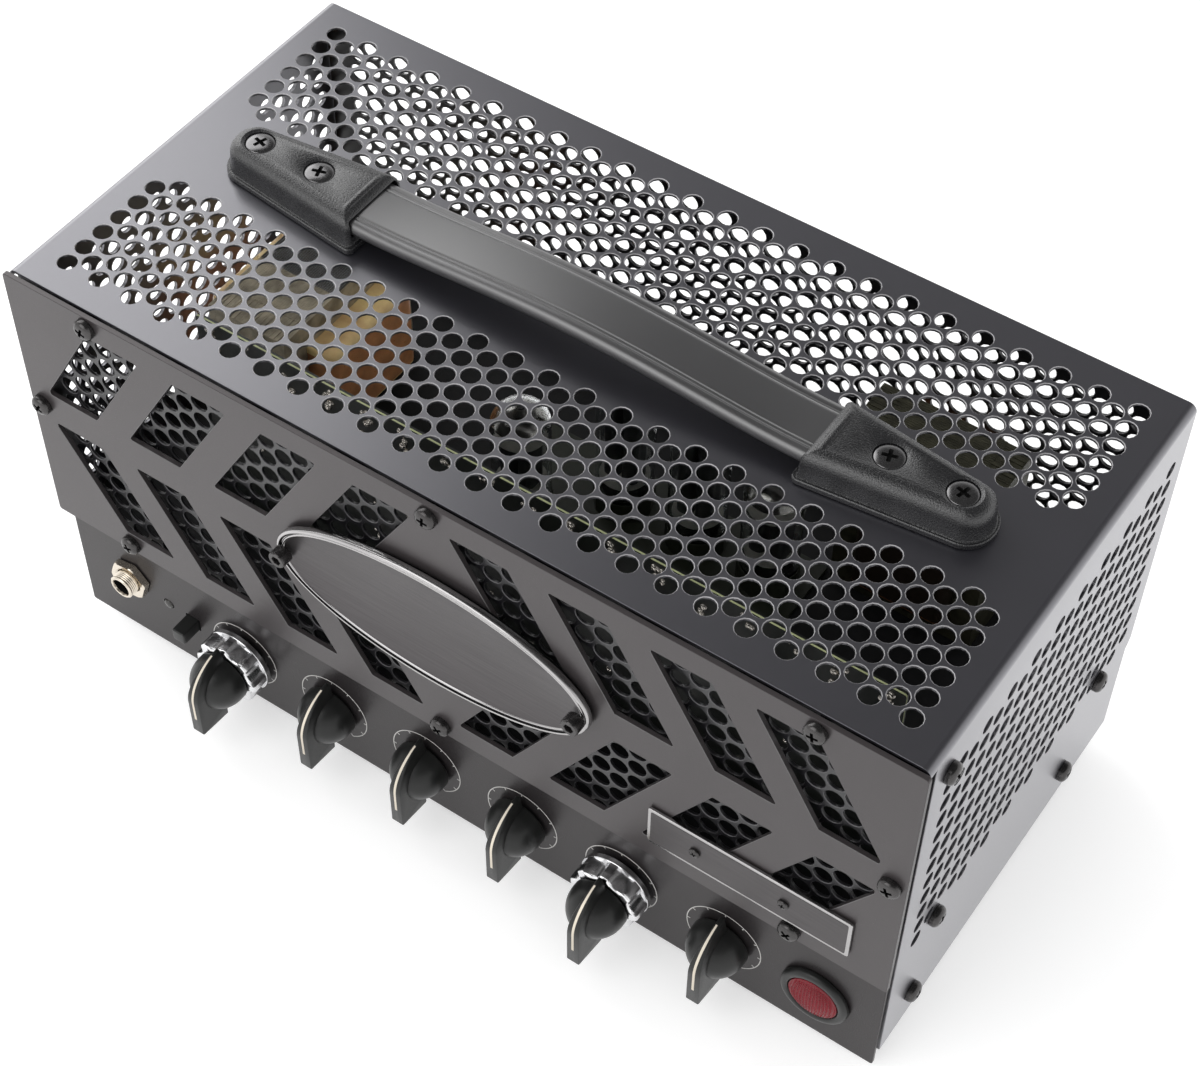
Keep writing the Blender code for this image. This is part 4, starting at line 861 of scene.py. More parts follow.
def make_front_panel(paint, worn):
    """Lower front panel with a hole for each control."""
    corners = corners_of(PANEL_HALF, PANEL_BOTTOM, DECK)
    holes = [disc(SHAFT_HOLE, x, CONTROL_HEIGHT) for x in KNOB_XS]
    holes += [disc(JACK_HOLE, JACK_X, JACK_HEIGHT), disc(PILOT_HOLE, PILOT_X, CONTROL_HEIGHT)]
    holes.append(disc(STATUS_HOLE, STATUS_X, STATUS_HEIGHT))
    holes.append(rounded(BUTTON_HOLE, BUTTON_HOLE, BUTTON_HOLE_CORNER, 5, BUTTON_X, CONTROL_HEIGHT))
    outline = filleted(corners, PANEL_CORNER)
    mesh = sheet_mesh("panel", outline, holes, PANEL_SHEET, upright_fold(PANEL_FRONT))
    piece("panel", mesh, [paint, worn], replaces=("front_panel",), sharp=None)


# Screws


def cross_cutter(size, depth, top):
    """Two tapered bars that cut a cross recess."""
    cutters = []
    for turn in (0.0, QUARTER):
        rings = []
        for height, share in zip((top - depth, top + depth), CROSS_TAPER):
            plan = rounded(2 * size * share, size * CROSS_BAR * share, size * CROSS_CORNER * share, 3)
            rings.append(lifted(plan, height))
        cutters.append(Shape().loft(rings, at=spin(turn)))
    return cutters


def pan_head(radius, tall, steps=40):
    """Pan head with a cross recess, seated at z 0. The recess has material 1, a painted shade."""
    flat = PAN_FLAT
    rim = PAN_RIM
    profile = [(0.0, 0.0), (radius * PAN_FOOT[0], 0.0), (radius, tall * PAN_FOOT[1])]
    profile += arc((radius * flat, tall * rim), (radius * (1 - flat), tall * (1 - rim)), 0.0, QUARTER, 9)
    head = Shape().turned([*profile, (0.0, tall)], steps)
    mesh = carved(head, cross_cutter(radius * CROSS_REACH, tall * CROSS_DEPTH, tall))
    for face in mesh.polygons:
        reach = math.hypot(face.center.x, face.center.y) / radius
        bow = min(1.0, max(0.0, (reach - flat) / (1 - flat)))
        surface = rim + (1 - rim) * math.sqrt(1 - bow * bow)
        sunk = reach < RECESS_REACH and RECESS_LOW < face.center.z / tall < surface - RECESS_SINK
        face.material_index = 1 if sunk else 0
    return mesh


def make_screws(dark, recess):
    """Pan heads on the front plate and on the cover's sides."""
    head = pan_head(HEAD_RADIUS, HEAD_TALL)
    plate = Shape()
    stem = drum(STEM_RADIUS, PLATE_FRONT + SEAT - PANEL_FRONT, -PLATE_SHEET)
    for k, (x, z) in enumerate(PLATE_SCREWS):
        spot = front(x, z, PLATE_FRONT) @ spin(0.35 + 0.9 * k)
        plate.mesh(head, at=spot)
        plate.turned(stem, 20, at=spot)
    piece("plate_screws", plate, [dark, recess])
    sides = Shape()
    for sign in (-1, 1):
        for k, (y, z) in enumerate(SIDE_SCREWS):
            sides.mesh(head, at=flank(sign, MID_Y + y, z) @ spin(0.5 + 1.3 * k))
    piece("side_screws", sides, [dark, recess])


# Handle


def cap_plan(inset):
    """Plan of a handle cap: wide inner end with small corners, narrow round outer end."""
    side = CAP_INNER_HALF - inset
    soft = max(CAP_CORNER_LEAST, CAP_CORNER - inset * CAP_CORNER_LOSS)
    outer = (CAP_ROUND - inset, CAP_OUTER_HALF - inset)
    points = arc((CAP_LENGTH - CAP_ROUND, 0.0), outer, -QUARTER, QUARTER, 15)
    for k, y in ((1, side - soft), (2, soft - side)):
        points += arc((inset + soft, y), (soft, soft), QUARTER * k, QUARTER * (k + 1), 5)
    return points


def cap_rib():
    """Rings of the low rib across a cap, over the strap's end."""
    rings = []
    for i in range(13):
        y = RIB_REACH * (2 * i / 12 - 1)
        tall = RIB_TALL * math.sqrt(max(0.0, 1 - (y / RIB_ROUND) ** 4))
        top = CAP_HEIGHT - RIB_SINK
        rings.append([(RIB_PLACE + RIB_HALF * c, y, top + tall * s) for c, s in disc(1.0, steps=12)])
    return rings


def cap_mesh():
    """One cap, its inner end at x 0: flange and dome (inset, height), strap pocket, screw wells and rib."""
    levels = [(0.0002, 0.0), (0.0, 0.0002), (0.0, 0.0017), (0.0003, 0.0020), (0.0008, 0.0020)]
    levels += [(0.0011, 0.0022), (0.0013, 0.0028)]
    dome = (CAP_WALL_INSET + CAP_DOME_INSET, CAP_WALL)
    levels += arc(dome, (-CAP_DOME_INSET, CAP_HEIGHT - CAP_WALL), 0.0, QUARTER, 7)
    base = Shape().loft([lifted(cap_plan(inset), height) for inset, height in levels])
    half = STRAP_HALF + SEAT
    low = (-OVER, -half, STRAP_END_TOP - STRAP_THICK - SEAT)
    high = (STRAP_REACH - CAP_INNER + SEAT, half, STRAP_END_TOP + SEAT)
    cutters = [brick(Shape(), low, high, POCKET_EDGE, POCKET_EDGE)]
    well = [(0.0, -0.0016), (0.0050, -0.0016), (0.0051, -0.0006)]
    well += [(0.0066, 0.0002), (0.0066, OVER), (0.0, OVER)]
    for reach in CAP_SCREW_REACH:
        spot = Matrix.Translation((reach - CAP_INNER, 0, CAP_HEIGHT))
        cutters.append(Shape().turned(well, 40, at=spot))
    return Shape().mesh(carved(base, cutters)).loft(cap_rib()).data("cap")


def make_caps(plastic, dark, recess):
    """End caps of the handle, two recessed screws in each."""
    cap = cap_mesh()
    screw = pan_head(CAP_SCREW_RADIUS, CAP_SCREW_TALL)
    for name, sign, turn in (("left", -1, math.pi), ("right", 1, 0.0)):
        spot = upright(sign * CAP_INNER, MID_Y, CASE_TOP + SEAT, turn)
        whole = Shape().mesh(cap, at=spot)
        for k, reach in enumerate(CAP_SCREW_REACH):
            seat = Matrix.Translation((reach - CAP_INNER, 0, CAP_HEIGHT - CAP_SCREW_SINK))
            whole.mesh(screw, 1, spot @ seat @ spin(0.3 + k))
        finishes = [plastic, dark, recess]
        piece(f"cap_{name}", whole, finishes, replaces=(f"handle_cap_{name}",))


def strap_top(x):
    share = min(1.0, abs(x) / STRAP_BEND_REACH)
    return STRAP_END_TOP + STRAP_RISE * (1 - share * share) ** 2


def strap_section():
    """Section of the strap, across and under its top: round sides and two grooved lines by each edge."""
    flat = STRAP_HALF - STRAP_EDGE
    top = []
    for v in np.linspace(-flat, flat, 61):
        dip = max(math.exp(-((abs(v) - groove) / GROOVE_WIDTH) ** 2) for groove in STRAP_GROOVES)
        top.append((v, -GROOVE_DEPTH * dip - STRAP_CROWN * (v / flat) ** 2))
    round_side = (STRAP_EDGE, STRAP_EDGE)
    right = arc((flat, -STRAP_CROWN - STRAP_EDGE), round_side, QUARTER - STRAP_SHOULDER, 0.0, 6)
    lower = arc((flat, STRAP_EDGE - STRAP_THICK - STRAP_TRIM), round_side, 0.0, -QUARTER, 6)
    right += [(x, max(-STRAP_THICK, y)) for x, y in lower]
    left = [(-x, y) for x, y in reversed(right)]
    return top + right + left


def make_strap(rubber):
    """Strap that rises in a low arch between its caps."""
    section = strap_section()
    rings = []
    for x in np.linspace(-STRAP_REACH, STRAP_REACH, 81):
        rise = CASE_TOP + strap_top(x)
        rings.append([(x, MID_Y + v, rise + w) for v, w in section])
    strap = Shape().loft([ring[::-1] for ring in rings])
    piece("strap", strap, [rubber], replaces=("handle_strap",), sharp=40)


# Badge and name strip


def oval(inset, height):
    a = BADGE_LONG / 2 - inset
    b = BADGE_TALL / 2 - inset
    return [(a * c, b * s, height) for c, s in disc(1.0, steps=128)]


def socket_head(radius, tall):
    """Socket-head screw: knurled side, chamfered rim, six-sided socket."""
    steps = 72

    def knurl(angle):
        return 1 - KNURL_DEPTH * (1 + math.cos(angle * KNURLS)) / 2

    rings = []
    for share, rise in ((0.97, 0.0), (1.0, 0.05), (1.0, 0.86), (0.93, 0.97), (0.88, 1.0)):
        rings.append(circle(lambda a, s=share: radius * s * knurl(a), tall * rise, steps))
    for share, rise in ((0.50, 1.0), (0.47, 0.95), (0.46, 0.40), (0.02, 0.34)):
        rings.append(circle(lambda a, s=share: hexagon(radius * s, a), tall * rise, steps))
    return Shape().loft(rings)


def make_badge(bright, face, dark, groove):
    """Oval plate: foot, thick rim, groove and inner rim (height, inset, finish), and a bare face."""
    # Finish 2, on the foot and in the groove, is a painted shade.
    rim = [
        (0.0, 0.0014, 2), (0.0012, 0.0014, 2), (0.0012, 0.0003, 0), (0.0013, 0.0001, 0),
        (0.0015, 0.0, 0), (0.0024, 0.0, 0), (0.0029, 0.0001, 0), (0.0033, 0.0003, 0),
        (0.0035, 0.0006, 0), (0.0036, 0.0010, 0), (0.0035, 0.0014, 0), (0.0033, 0.0016, 2),
        (0.0030, 0.0018, 2), (0.0030, 0.0021, 0), (0.0032, 0.0023, 0), (0.0033, 0.0026, 0),
        (0.0032, 0.0029, 0), (0.0029, 0.0031, 0), (0.0028, 0.0034, 1), (0.0028, 0.0240, 1),
    ]
    spot = front(0.0, BADGE_HEIGHT, PLATE_FRONT - SEAT)
    rings = [oval(inset, height) for height, inset, _ in rim]
    badge = Shape().loft(rings, at=spot, slots=[k for _, _, k in rim[1:]])
    piece("badge", badge, [bright, face, groove], replaces=("badge_plate",))
    for name, sign in (("left", -1), ("right", 1)):
        spot = front(sign * BADGE_SCREW_REACH, BADGE_HEIGHT, PLATE_FRONT - BADGE_THICK - 2 * SEAT)
        screw = Shape().mesh(socket_head(BADGE_SCREW_RADIUS, BADGE_SCREW_TALL).data("socket"), at=spot)
        piece(f"badge_bolt_{name}", screw, [dark], replaces=(f"badge_screw_{name}",))


def strip_plan(height, inset, corner):
    return lifted(rounded(STRIP_LONG - 2 * inset, STRIP_TALL - 2 * inset, corner), height)


def make_strip(bright, face, dark, recess):
    """Bare strip: a bright border round a slightly raised face, and two small screws."""
    strip = Shape()
    spot = front(STRIP_X, STRIP_HEIGHT, PLATE_FRONT - SEAT)
    border = softened(0.0, STRIP_THICK, STRIP_EDGE)
    strip.loft([strip_plan(height, inset, STRIP_CORNER) for height, inset in border], at=spot)
    raised = STRIP_THICK + STRIP_FACE_RISE
    levels = [(STRIP_THICK - STRIP_FACE_EDGE, STRIP_BORDER), (raised, STRIP_BORDER)]
    levels.append((raised, STRIP_BORDER + STRIP_FACE_EDGE))
    strip.loft([strip_plan(height, inset, STRIP_FACE_CORNER) for height, inset in levels], 1, spot)
    screw = pan_head(STRIP_SCREW_RADIUS, STRIP_SCREW_TALL, 28)
    for k, x in enumerate(STRIP_SCREWS):
        strip.mesh(screw, 2, spot @ Matrix.Translation((x, 0.0, raised)) @ spin(0.4 + k))
    piece("strip", strip, [bright, face, dark, recess], replaces=("name_strip",))


# Controls


def knob_side(steps=22):
    """Side view of the pointer, along its length and out of the panel: foot, ridge and tail."""
    top = KNOB_HEIGHT - LINE_LIFT
    foot = KNOB_HEIGHT * 0.04
    end = -KNOB_TAIL - OVER
    side = [(end, top * 0.24), (-KNOB_TAIL * 0.84, top * 0.24), (-KNOB_TAIL * 0.66, foot)]
    side.append((KNOB_TIP + OVER, foot))
    ridge = arc((KNOB_TIP * 0.08, 0.0), (KNOB_TIP * 0.93, top), math.radians(8), QUARTER, steps)
    return side, ridge, [(-KNOB_TAIL * 0.95, top), (end, top * 0.94)]


def knob_body():
    """Dome with a pointer across it."""
    half = KNOB_BAR / 2
    plan = [(-half, -KNOB_TAIL), (half, -KNOB_TAIL), (half, KNOB_TIP * 0.1)]
    plan += [(half * 0.93, KNOB_TIP * 0.3), (half * 0.70, KNOB_TIP * 0.6), (half * 0.20, KNOB_TIP)]
    plan += [(-x, y) for x, y in reversed(plan[3:])] + [(-half, KNOB_TIP * 0.1)]
    bar = Shape().loft([lifted(plan, height) for height in (-OVER, KNOB_HEIGHT + OVER)])
    outline = sum(knob_side(), [])
    wide = half + OVER
    profile = Shape().loft([[(x, a, b) for a, b in outline] for x in (-wide, wide)])
    fin = carved(bar, [profile], "INTERSECT", KNOB_EDGE)
    for v in fin.vertices:
        v.co.x *= KNOB_FOOT - KNOB_TAPER * max(0.0, v.co.z) / KNOB_HEIGHT
    points = [(0.0, 0.0), (KNOB_RADIUS - KNOB_CHAMFER, 0.0), (KNOB_RADIUS, KNOB_CHAMFER)]
    points += arc((0.0, KNOB_SKIRT), (KNOB_RADIUS, KNOB_DOME - KNOB_SKIRT), 0.0, QUARTER, 15)
    return carved(Shape().turned(points, 56), [Shape().mesh(fin)], "UNION")


def knob_line():
    """Pale line let into the pointer's ridge, from near its tail to its tip."""
    _, ridge, _ = knob_side(40)
    path = [Vector(p) for p in ridge[3:]]
    path += [Vector((-KNOB_TAIL * s, KNOB_HEIGHT - LINE_LIFT)) for s in (0.1, 0.3, 0.5)]
    rings = []
    for i, point in enumerate(path):
        along = (path[min(i + 1, len(path) - 1)] - path[max(i - 1, 0)]).normalized()
        out = Vector((along.y, -along.x))
        half = LINE_HALF + LINE_GAIN * min(1.0, i / 14)
        ring = []
        for x, depth in corners_of(half, -LINE_DEPTH, LINE_LIFT):
            place = point + out * depth
            ring.append((x, place.x, place.y))
        rings.append(ring)
    return Shape().loft(rings)


def make_knobs(plastic, paint):
    body = knob_body()
    line = knob_line().data("line")
    for x, name in zip(KNOB_XS, KNOB_NAMES):
        lift = KNOB_DUAL_LIFT if name in DUAL_KNOBS else KNOB_LIFT
        spot = front(x, CONTROL_HEIGHT, PANEL_FRONT - lift)
        knob = Shape().mesh(body, 0, spot).mesh(line, 1, spot)
        body_name = f"knob_{name}"
        piece(f"pointer_{name}", knob, [plastic, paint], body_name, (body_name,), 38)


def collar_radius(angle, cut):
    """Outer radius of the fluted collar, its flutes eased by cut from 0 to 1."""
    step = 2 * math.pi / FLUTES
    local = (angle % step) - step / 2
    limit = COLLAR_RADIUS
    inside_root = FLUTE_RADIUS ** 2 - (FLUTE_CENTRE * math.sin(local)) ** 2
    if inside_root > 0:
        limit = min(limit, FLUTE_CENTRE * math.cos(local) - math.sqrt(inside_root))
    return COLLAR_RADIUS + (limit - COLLAR_RADIUS) * cut


def make_collars(bright, dark):
    """Collars: a round foot, eight flutes and a stepped bore, and a grub screw in the top flute."""
    steps = 240
    top = COLLAR_HEIGHT
    levels = [(0.0, 0.0003, 0.0), (0.0003, 0.0, 0.0), (0.0019, 0.0, 0.0), (0.0022, 0.0002, 0.0)]
    levels += [(0.0022, 0.0, 0.92), (0.0026, 0.0, 1.0), (0.0078, 0.0, 1.0), (0.0083, 0.0002, 1.0)]
    levels += [(0.0086, 0.0005, 1.0), (top, 0.0009, 1.0)]
    bore = [(0.0070, top), (0.0036, top - 0.0004), (0.0034, top - 0.0006), (0.0034, 0.0030)]
    bore += [(0.0062, 0.0030), (0.0062, 0.0)]
    grub = [(0.0, -0.001), (0.0015, -0.001), (0.0015, 0.0001), (0.0013, 0.0003), (0.0009, 0.0003)]
    grub += [(0.0008, -0.0006), (0.0, -0.0007)]
    upward = spin(QUARTER) @ Matrix.Translation((GRUB_REACH, 0, GRUB_HEIGHT))
    upward @= Matrix.Rotation(QUARTER, 4, "Y")
    for name in DUAL_KNOBS:
        spot = front(KNOB_XS[KNOB_NAMES.index(name)], CONTROL_HEIGHT, PANEL_FRONT - COLLAR_LIFT)
        rings = []
        for height, inset, cut in levels:
            rings.append(circle(lambda a, i=inset, c=cut: collar_radius(a, c) - i, height, steps))
        rings += [circle(radius, height, steps) for radius, height in bore]
        whole = Shape().mesh(hollow(rings), at=spot)
        whole.turned(grub, 24, 1, spot @ upward)
        body_name = f"collar_{name}"
        piece(f"fluted_{name}", whole, [bright, dark], body_name, (body_name,), 30)


def make_dials(print_paint):
    """Thin printed scales: an open ring and eleven ticks round each knob."""
    dials = Shape()
    half = DIAL_LINE / 2
    inner = DIAL_RADIUS - DIAL_TICK
    for knob_x in KNOB_XS:
        spot = front(knob_x, CONTROL_HEIGHT)
        rings = []
        for i in range(97):
            angle = QUARTER + DIAL_SWEEP * (2 * i / 96 - 1)
            ring = []
            for across, height in corners_of(half, -DIAL_RAISE, DIAL_RAISE):
                r = DIAL_RADIUS + across
                ring.append((r * math.cos(angle), r * math.sin(angle), height))
            rings.append(ring)
        dials.loft(rings, at=spot)
        for k in range(11):
            turn = spin(QUARTER + DIAL_SWEEP * (2 * k / 10 - 1))
            tick = [(inner, -half), (DIAL_RADIUS, -half), (DIAL_RADIUS, half), (inner, half)]
            dials.loft([lifted(tick, height) for height in (-DIAL_RAISE, DIAL_RAISE)], at=spot @ turn)
    piece("dial_scales", dials, [print_paint])


def make_jack(nickel, dark):
    """Input jack: threaded sleeve whose bore is darkened by a painted shade, and a chamfered nut."""
    start, stop = JACK_THREADED
    thread = [(JACK_THREAD, 0.0), (JACK_ROOT, 0.0003), (JACK_ROOT, 0.0004), (JACK_THREAD, JACK_PITCH)]
    outside = [(JACK_THREAD - JACK_CHAMFER, JACK_TIP), (JACK_THREAD, JACK_TIP - JACK_CHAMFER)]
    height = start
    while height > stop:
        outside += [(radius, height - drop) for radius, drop in thread]
        height -= JACK_PITCH
    outside += [(JACK_THREAD, -JACK_NECK), (JACK_BODY, -JACK_NECK)]
    outside += [(JACK_BODY, -JACK_DEEP), (0.0, -JACK_DEEP)]
    bore = [(JACK_MOUTH, JACK_TIP), (JACK_BORE, start), (JACK_BORE, -JACK_WELL), (0.0, -JACK_WELL)]
    jack = Shape().turned([*reversed(outside), *bore], 48, at=front(JACK_X, JACK_HEIGHT))
    # Faces inside the bore take the painted shade.
    for k, face in enumerate(jack.faces):
        centre = sum((Vector(jack.points[i]) for i in face), Vector()) / len(face)
        if math.hypot(centre.x - JACK_X, centre.z - JACK_HEIGHT) < JACK_BORE:
            jack.slots[k] = 1
    piece("jack_sleeve", jack, [nickel, dark], replaces=("input_jack",), sharp=30)
    steps = 72
    flat = NUT_CORNER * math.cos(math.pi / 6)
    levels = [(0.0, 0.97, 1.0), (0.0002, 1.0, 1.0), (0.0021, 1.0, 1.0)]
    levels += [(0.0025, 1.0, 0.97025), (0.0028, 1.0, 0.915)]
    rings = []
    for height, share, corner in levels:
        def reach(angle, share=share, corner=corner):
            return share * min(hexagon(flat, angle), corner * NUT_CORNER)

        rings.append(circle(reach, height, steps))
    rings += [circle(r, height, steps) for r, height in ((0.0057, 0.0028), (0.0051, 0.0024), (0.0051, 0.0))]
    nut = Shape().mesh(hollow(rings), at=front(JACK_X, JACK_HEIGHT, PANEL_FRONT - SEAT) @ spin(0.2))
    piece("jack_nut", nut, [nickel], replaces=("input_jack_nut",), sharp=25)


def lens_point(u, v, peak):
    """Point of the lens for a place on a square from -1 to 1, which is drawn out to a disc."""
    x = u * math.sqrt(1 - v * v / 2)
    y = v * math.sqrt(1 - u * u / 2)
    rim = min(1.0, (1 - math.hypot(x, y)) * 6)
    height = LENS_TOP - LENS_FALL * (x * x + y * y) ** 1.5 + LENS_FACET * peak * max(0.0, rim)
    return x * LENS_RADIUS, y * LENS_RADIUS, height


def lens_shape(spot):
    """Lens with a fine pattern of pyramids, and a straight wall down to its seat."""
    last = 2 * LENS_CELLS
    side = range(last + 1)
    grid = {(i, j): i * (last + 1) + j for i in side for j in side}
    points = [lens_point(2 * i / last - 1, 2 * j / last - 1, i % 2 and j % 2) for i, j in grid]
    faces = []
    for i in range(last):
        for j in range(last):
            a, b, c, d = grid[i, j], grid[i + 1, j], grid[i + 1, j + 1], grid[i, j + 1]
            faces += [(a, b, d), (b, c, d)] if (i + j) % 2 else [(a, b, c), (a, c, d)]
    border = [(i, 0) for i in range(last)] + [(last, j) for j in range(last)]
    border += [(last - i, last - j) for i, j in border]
    base = len(points)
    size = len(border)
    for k, place in enumerate(border):
        x, y, _ = points[grid[place]]
        points.append((x, y, LENS_SEAT + SEAT))
        after = (k + 1) % size
        faces.append((grid[place], base + k, base + after, grid[border[after]]))
    faces.append([base + k for k in reversed(range(size))])
    return Shape().add(points, faces, at=spot)


def make_pilot(plastic, lens_red):
    """Jewel lamp: a rounded black bezel round its lens."""
    recess = LENS_RADIUS + SEAT
    top = PILOT_WALL + PILOT_ROUND
    profile = [(0.0, -PILOT_DEEP), (PILOT_STEM, -PILOT_DEEP), (PILOT_STEM, SEAT), (PILOT_FOOT, SEAT)]
    profile.append((PILOT_RADIUS, SEAT + PILOT_CHAMFER))
    profile += arc((PILOT_RADIUS - PILOT_ROUND, PILOT_WALL), (PILOT_ROUND, PILOT_ROUND), 0.0, QUARTER, 7)
    profile += [(recess + PILOT_LIP, top), (recess + PILOT_LIP / 3, top - PILOT_LIP / 3)]
    profile += [(recess, top - PILOT_LIP), (recess, LENS_SEAT), (0.0, LENS_SEAT)]
    spot = front(PILOT_X, CONTROL_HEIGHT)
    bezel = Shape().turned(profile, 72, at=spot)
    piece("bezel", bezel, [plastic], replaces=("pilot_bezel",), sharp=40)
    piece("jewel", lens_shape(spot), [lens_red], replaces=("pilot_lens",), sharp=12)


def make_small_controls(clear, plastic):
    """Domed status lamp and square push button."""
    profile = [(0.0, -STATUS_DEEP), (STATUS_RADIUS, -STATUS_DEEP), (STATUS_RADIUS, -STATUS_SINK)]
    profile += arc((0.0, -STATUS_SINK), (STATUS_RADIUS, STATUS_DOME), 0.2, 1.35, 6)
    profile.append((0.0, STATUS_DOME - STATUS_SINK))
    lamp = Shape().turned(profile, 32, at=front(STATUS_X, STATUS_HEIGHT))
    piece("indicator", lamp, [clear], replaces=("status_lamp",), sharp=40)
    half = BUTTON_SIDE / 2
    low = (-half, -half, BUTTON_INNER)
    high = (half, half, BUTTON_REACH)
    button = brick(Shape(), low, high, BUTTON_EDGE, BUTTON_EDGE, at=front(BUTTON_X, CONTROL_HEIGHT))
    piece("plunger", button, [plastic], "channel_button", ("channel_button",), 40)


# Works inside the cage

BOX_FACES = [(3, 2, 1, 0), (4, 5, 6, 7), (0, 1, 5, 4), (1, 2, 6, 5), (2, 3, 7, 6), (3, 0, 4, 7)]


def lamination(low, high, deep, lean):
    """Corners of one leaf of a core between two (x, z) corners, in the order of BOX_FACES."""
    y, thick = deep
    corners = []
    for z in (low[1], high[1] + (lean if high[1] > low[1] + LEAN_FROM else 0.0)):
        corners += [(low[0], y, z), (high[0], y, z), (high[0], y + thick, z), (low[0], y + thick, z)]
    return corners


def make_transformers(irons, wraps):
    """Cores of stacked leaves, and coils whose sides and ends have their own wraps."""
    for name, made in TRANSFORMERS.items():
        half = made["width"] / 2
        height = made["height"]
        deep = made["stack"]
        limb = made["limb"]
        spot = upright(made["x"], MID_Y + made["y"], DECK + SEAT, made["turn"])
        core = Shape()
        count = round(deep / LEAF)
        leaf = deep / count
        bars = [((-half, 0.0), (limb - half, height)), ((half - limb, 0.0), (half, height))]
        bars += [((-limb, limb), (limb, height - limb)), ((limb - half, 0.0), (half - limb, limb))]
        bars.append(((limb - half, height - limb), (half - limb, height)))
        for k in range(count):
            lean = LEAF_LEAN * (math.sin(k * 2.7) - 2.0)
            run = (k * leaf - deep / 2, leaf * LEAF_SHARE)
            for low, high in bars:
                core.add(lamination(low, high, run, lean), BOX_FACES, 0, spot)
        if name == BANDED:
            low = (BAND[0], -deep / 2, height - BAND_THICK)
            brick(core, low, (BAND[1], deep / 2, height), BAND_EDGE, BAND_CORNER, 1, spot)
        taken = (name + "_core",)
        piece(name + "_laminations", core, irons[name], replaces=taken, sharp=30)
        inner = 2 * (half - limb - SEAT)
        outer = deep + 2 * made["bulge"]
        rings = []
        for rise, inset in softened(limb + SEAT, height - limb - SEAT, COIL_EDGE):
            plan = rounded(inner - COIL_DRAW * inset, outer - 2 * inset, COIL_CORNER, 8)
            rings.append(lifted(plan, rise))
        coil = Shape().loft(rings, 0, spot, slots=[0] * 4 + [1] + [0] * 4)
        taken = (name + "_coil",)
        piece(name + "_winding", coil, wraps[name], replaces=taken, sharp=50)


def make_front_board(mask, laminate, solder):
    """Upright board behind the front grille: dark faces, a thin pale band on its cut edges that is the
    laminate's colour and a painted highlight, solder joints on its front.
    """
    (left, right), (low, high) = FRONT_BOARD
    board = Shape()
    spot = front((left + right) / 2, (low + high) / 2, FRONT_BOARD_FACE + BOARD_THICK)
    plan = rounded(right - left, high - low, BOARD_CORNER)
    edge = [0.0, *(BOARD_THICK - depth for depth in BOARD_CUT), BOARD_THICK]
    board.loft([lifted(plan, height) for height in edge], 0, spot, slots=[0, 1, 0])
    chance = np.random.RandomState(11)
    for _ in range(SOLDER_JOINTS):
        group = (right - left - SOLDER_MARGIN) * chance.randint(0, SOLDER_GROUPS) / (SOLDER_GROUPS - 1)
        x = left + SOLDER_LEFT + group + chance.uniform(0.0, SOLDER_SPREAD)
        row = SOLDER_TOP + SOLDER_ROW * chance.randint(0, 2)
        z = high - row - (high - low - SOLDER_MARGIN) * chance.uniform() ** 5
        size = chance.uniform(*SOLDER_SIZES)
        dome = arc((0.0, 0.0), (size, size * SOLDER_TALL), 0.0, QUARTER, 6)
        profile = [(0.0, -SOLDER_FOOT), (size, -SOLDER_FOOT), *dome]
        board.turned(profile, 14, 2, front(x, z, FRONT_BOARD_FACE))
    finishes = [mask, laminate, solder]
    piece("upright_board", board, finishes, replaces=("front_board",), sharp=40)


def tube_profile(tall, shrink):
    """Outside of a tube's glass from its shoulder to its tip, drawn in by shrink."""
    top = TUBE_SHOULDER + tall
    r = TUBE_RADIUS - shrink
    rise = TUBE_RADIUS * TUBE_DOME
    wall = top - TUBE_NECK - rise
    points = [(r, TUBE_SHOULDER + shrink), (r, wall)]
    dome = arc((0.0, wall - shrink), (r, rise), QUARTER / 8, QUARTER, 8)
    points += [(max(reach, TIP_RADIUS), height) for reach, height in dome]
    return points + [(radius, top - depth - shrink) for radius, depth in TIP]


def make_tubes(glass, plate, mica, getter, base):
    """Glass shells silvered inside their tops, two plates between mica discs, and dark bases."""
    skin = GETTER_SKIN
    for name, (x, y, tall) in TUBES.items():
        spot = upright(x, MID_Y + y, 0.0)
        shell = Shape()
        inner = tube_profile(tall, TUBE_WALL)
        shell.turned([(0.0, TUBE_SHOULDER), *tube_profile(tall, 0.0)], 40, 0, spot)
        shell.turned([*reversed(inner), (0.0, TUBE_SHOULDER + TUBE_WALL)], 40, 0, spot)
        cap = [(r - skin, z - skin) for r, z in tube_profile(tall, TUBE_WALL + skin)[2:-3]]
        back = [(r - skin, z - skin) for r, z in reversed(cap)]
        shell.turned([*cap, *back], 40, 1, spot)
        low = TUBE_SHOULDER + MICA_LOW
        high = TUBE_SHOULDER + tall - MICA_HIGH
        for height in (low, high):
            shell.turned(drum(MICA_RADIUS, height, height + MICA_THICK), 36, 2, spot)
        for side in (-1, 1):
            plan = rounded(ANODE_WIDE, ANODE_DEEP, ANODE_CORNER, 6, side * ANODE_X)
            shell.loft([lifted(plan, height) for height in (low + ANODE_GAP, high - ANODE_GAP)], 3, spot)
        foot = drum(BASE_RADIUS, TUBE_SHOULDER - BASE_DEEP, TUBE_SHOULDER - BASE_GAP)
        shell.turned(foot, 32, 4, spot)
        finishes = [glass, getter, mica, plate, base]
        piece(name + "_glass", shell, finishes, replaces=(name,), sharp=40)


# Materials

PAINT_SHEEN = (1.0, 0.94, 0.955, 1.0)
COAT_SHEEN = (0.93, 0.92, 1.0, 1.0)


def fill_inputs(tree, made, inputs):
    """Put values on a shader node's sockets, or link the sockets that are given instead."""
    for name, value in inputs.items():
        socket = made.inputs[name.replace("_", " ")]
        if isinstance(value, bpy.types.NodeSocket):
            tree.links.new(value, socket)
        else:
            socket.default_value = value


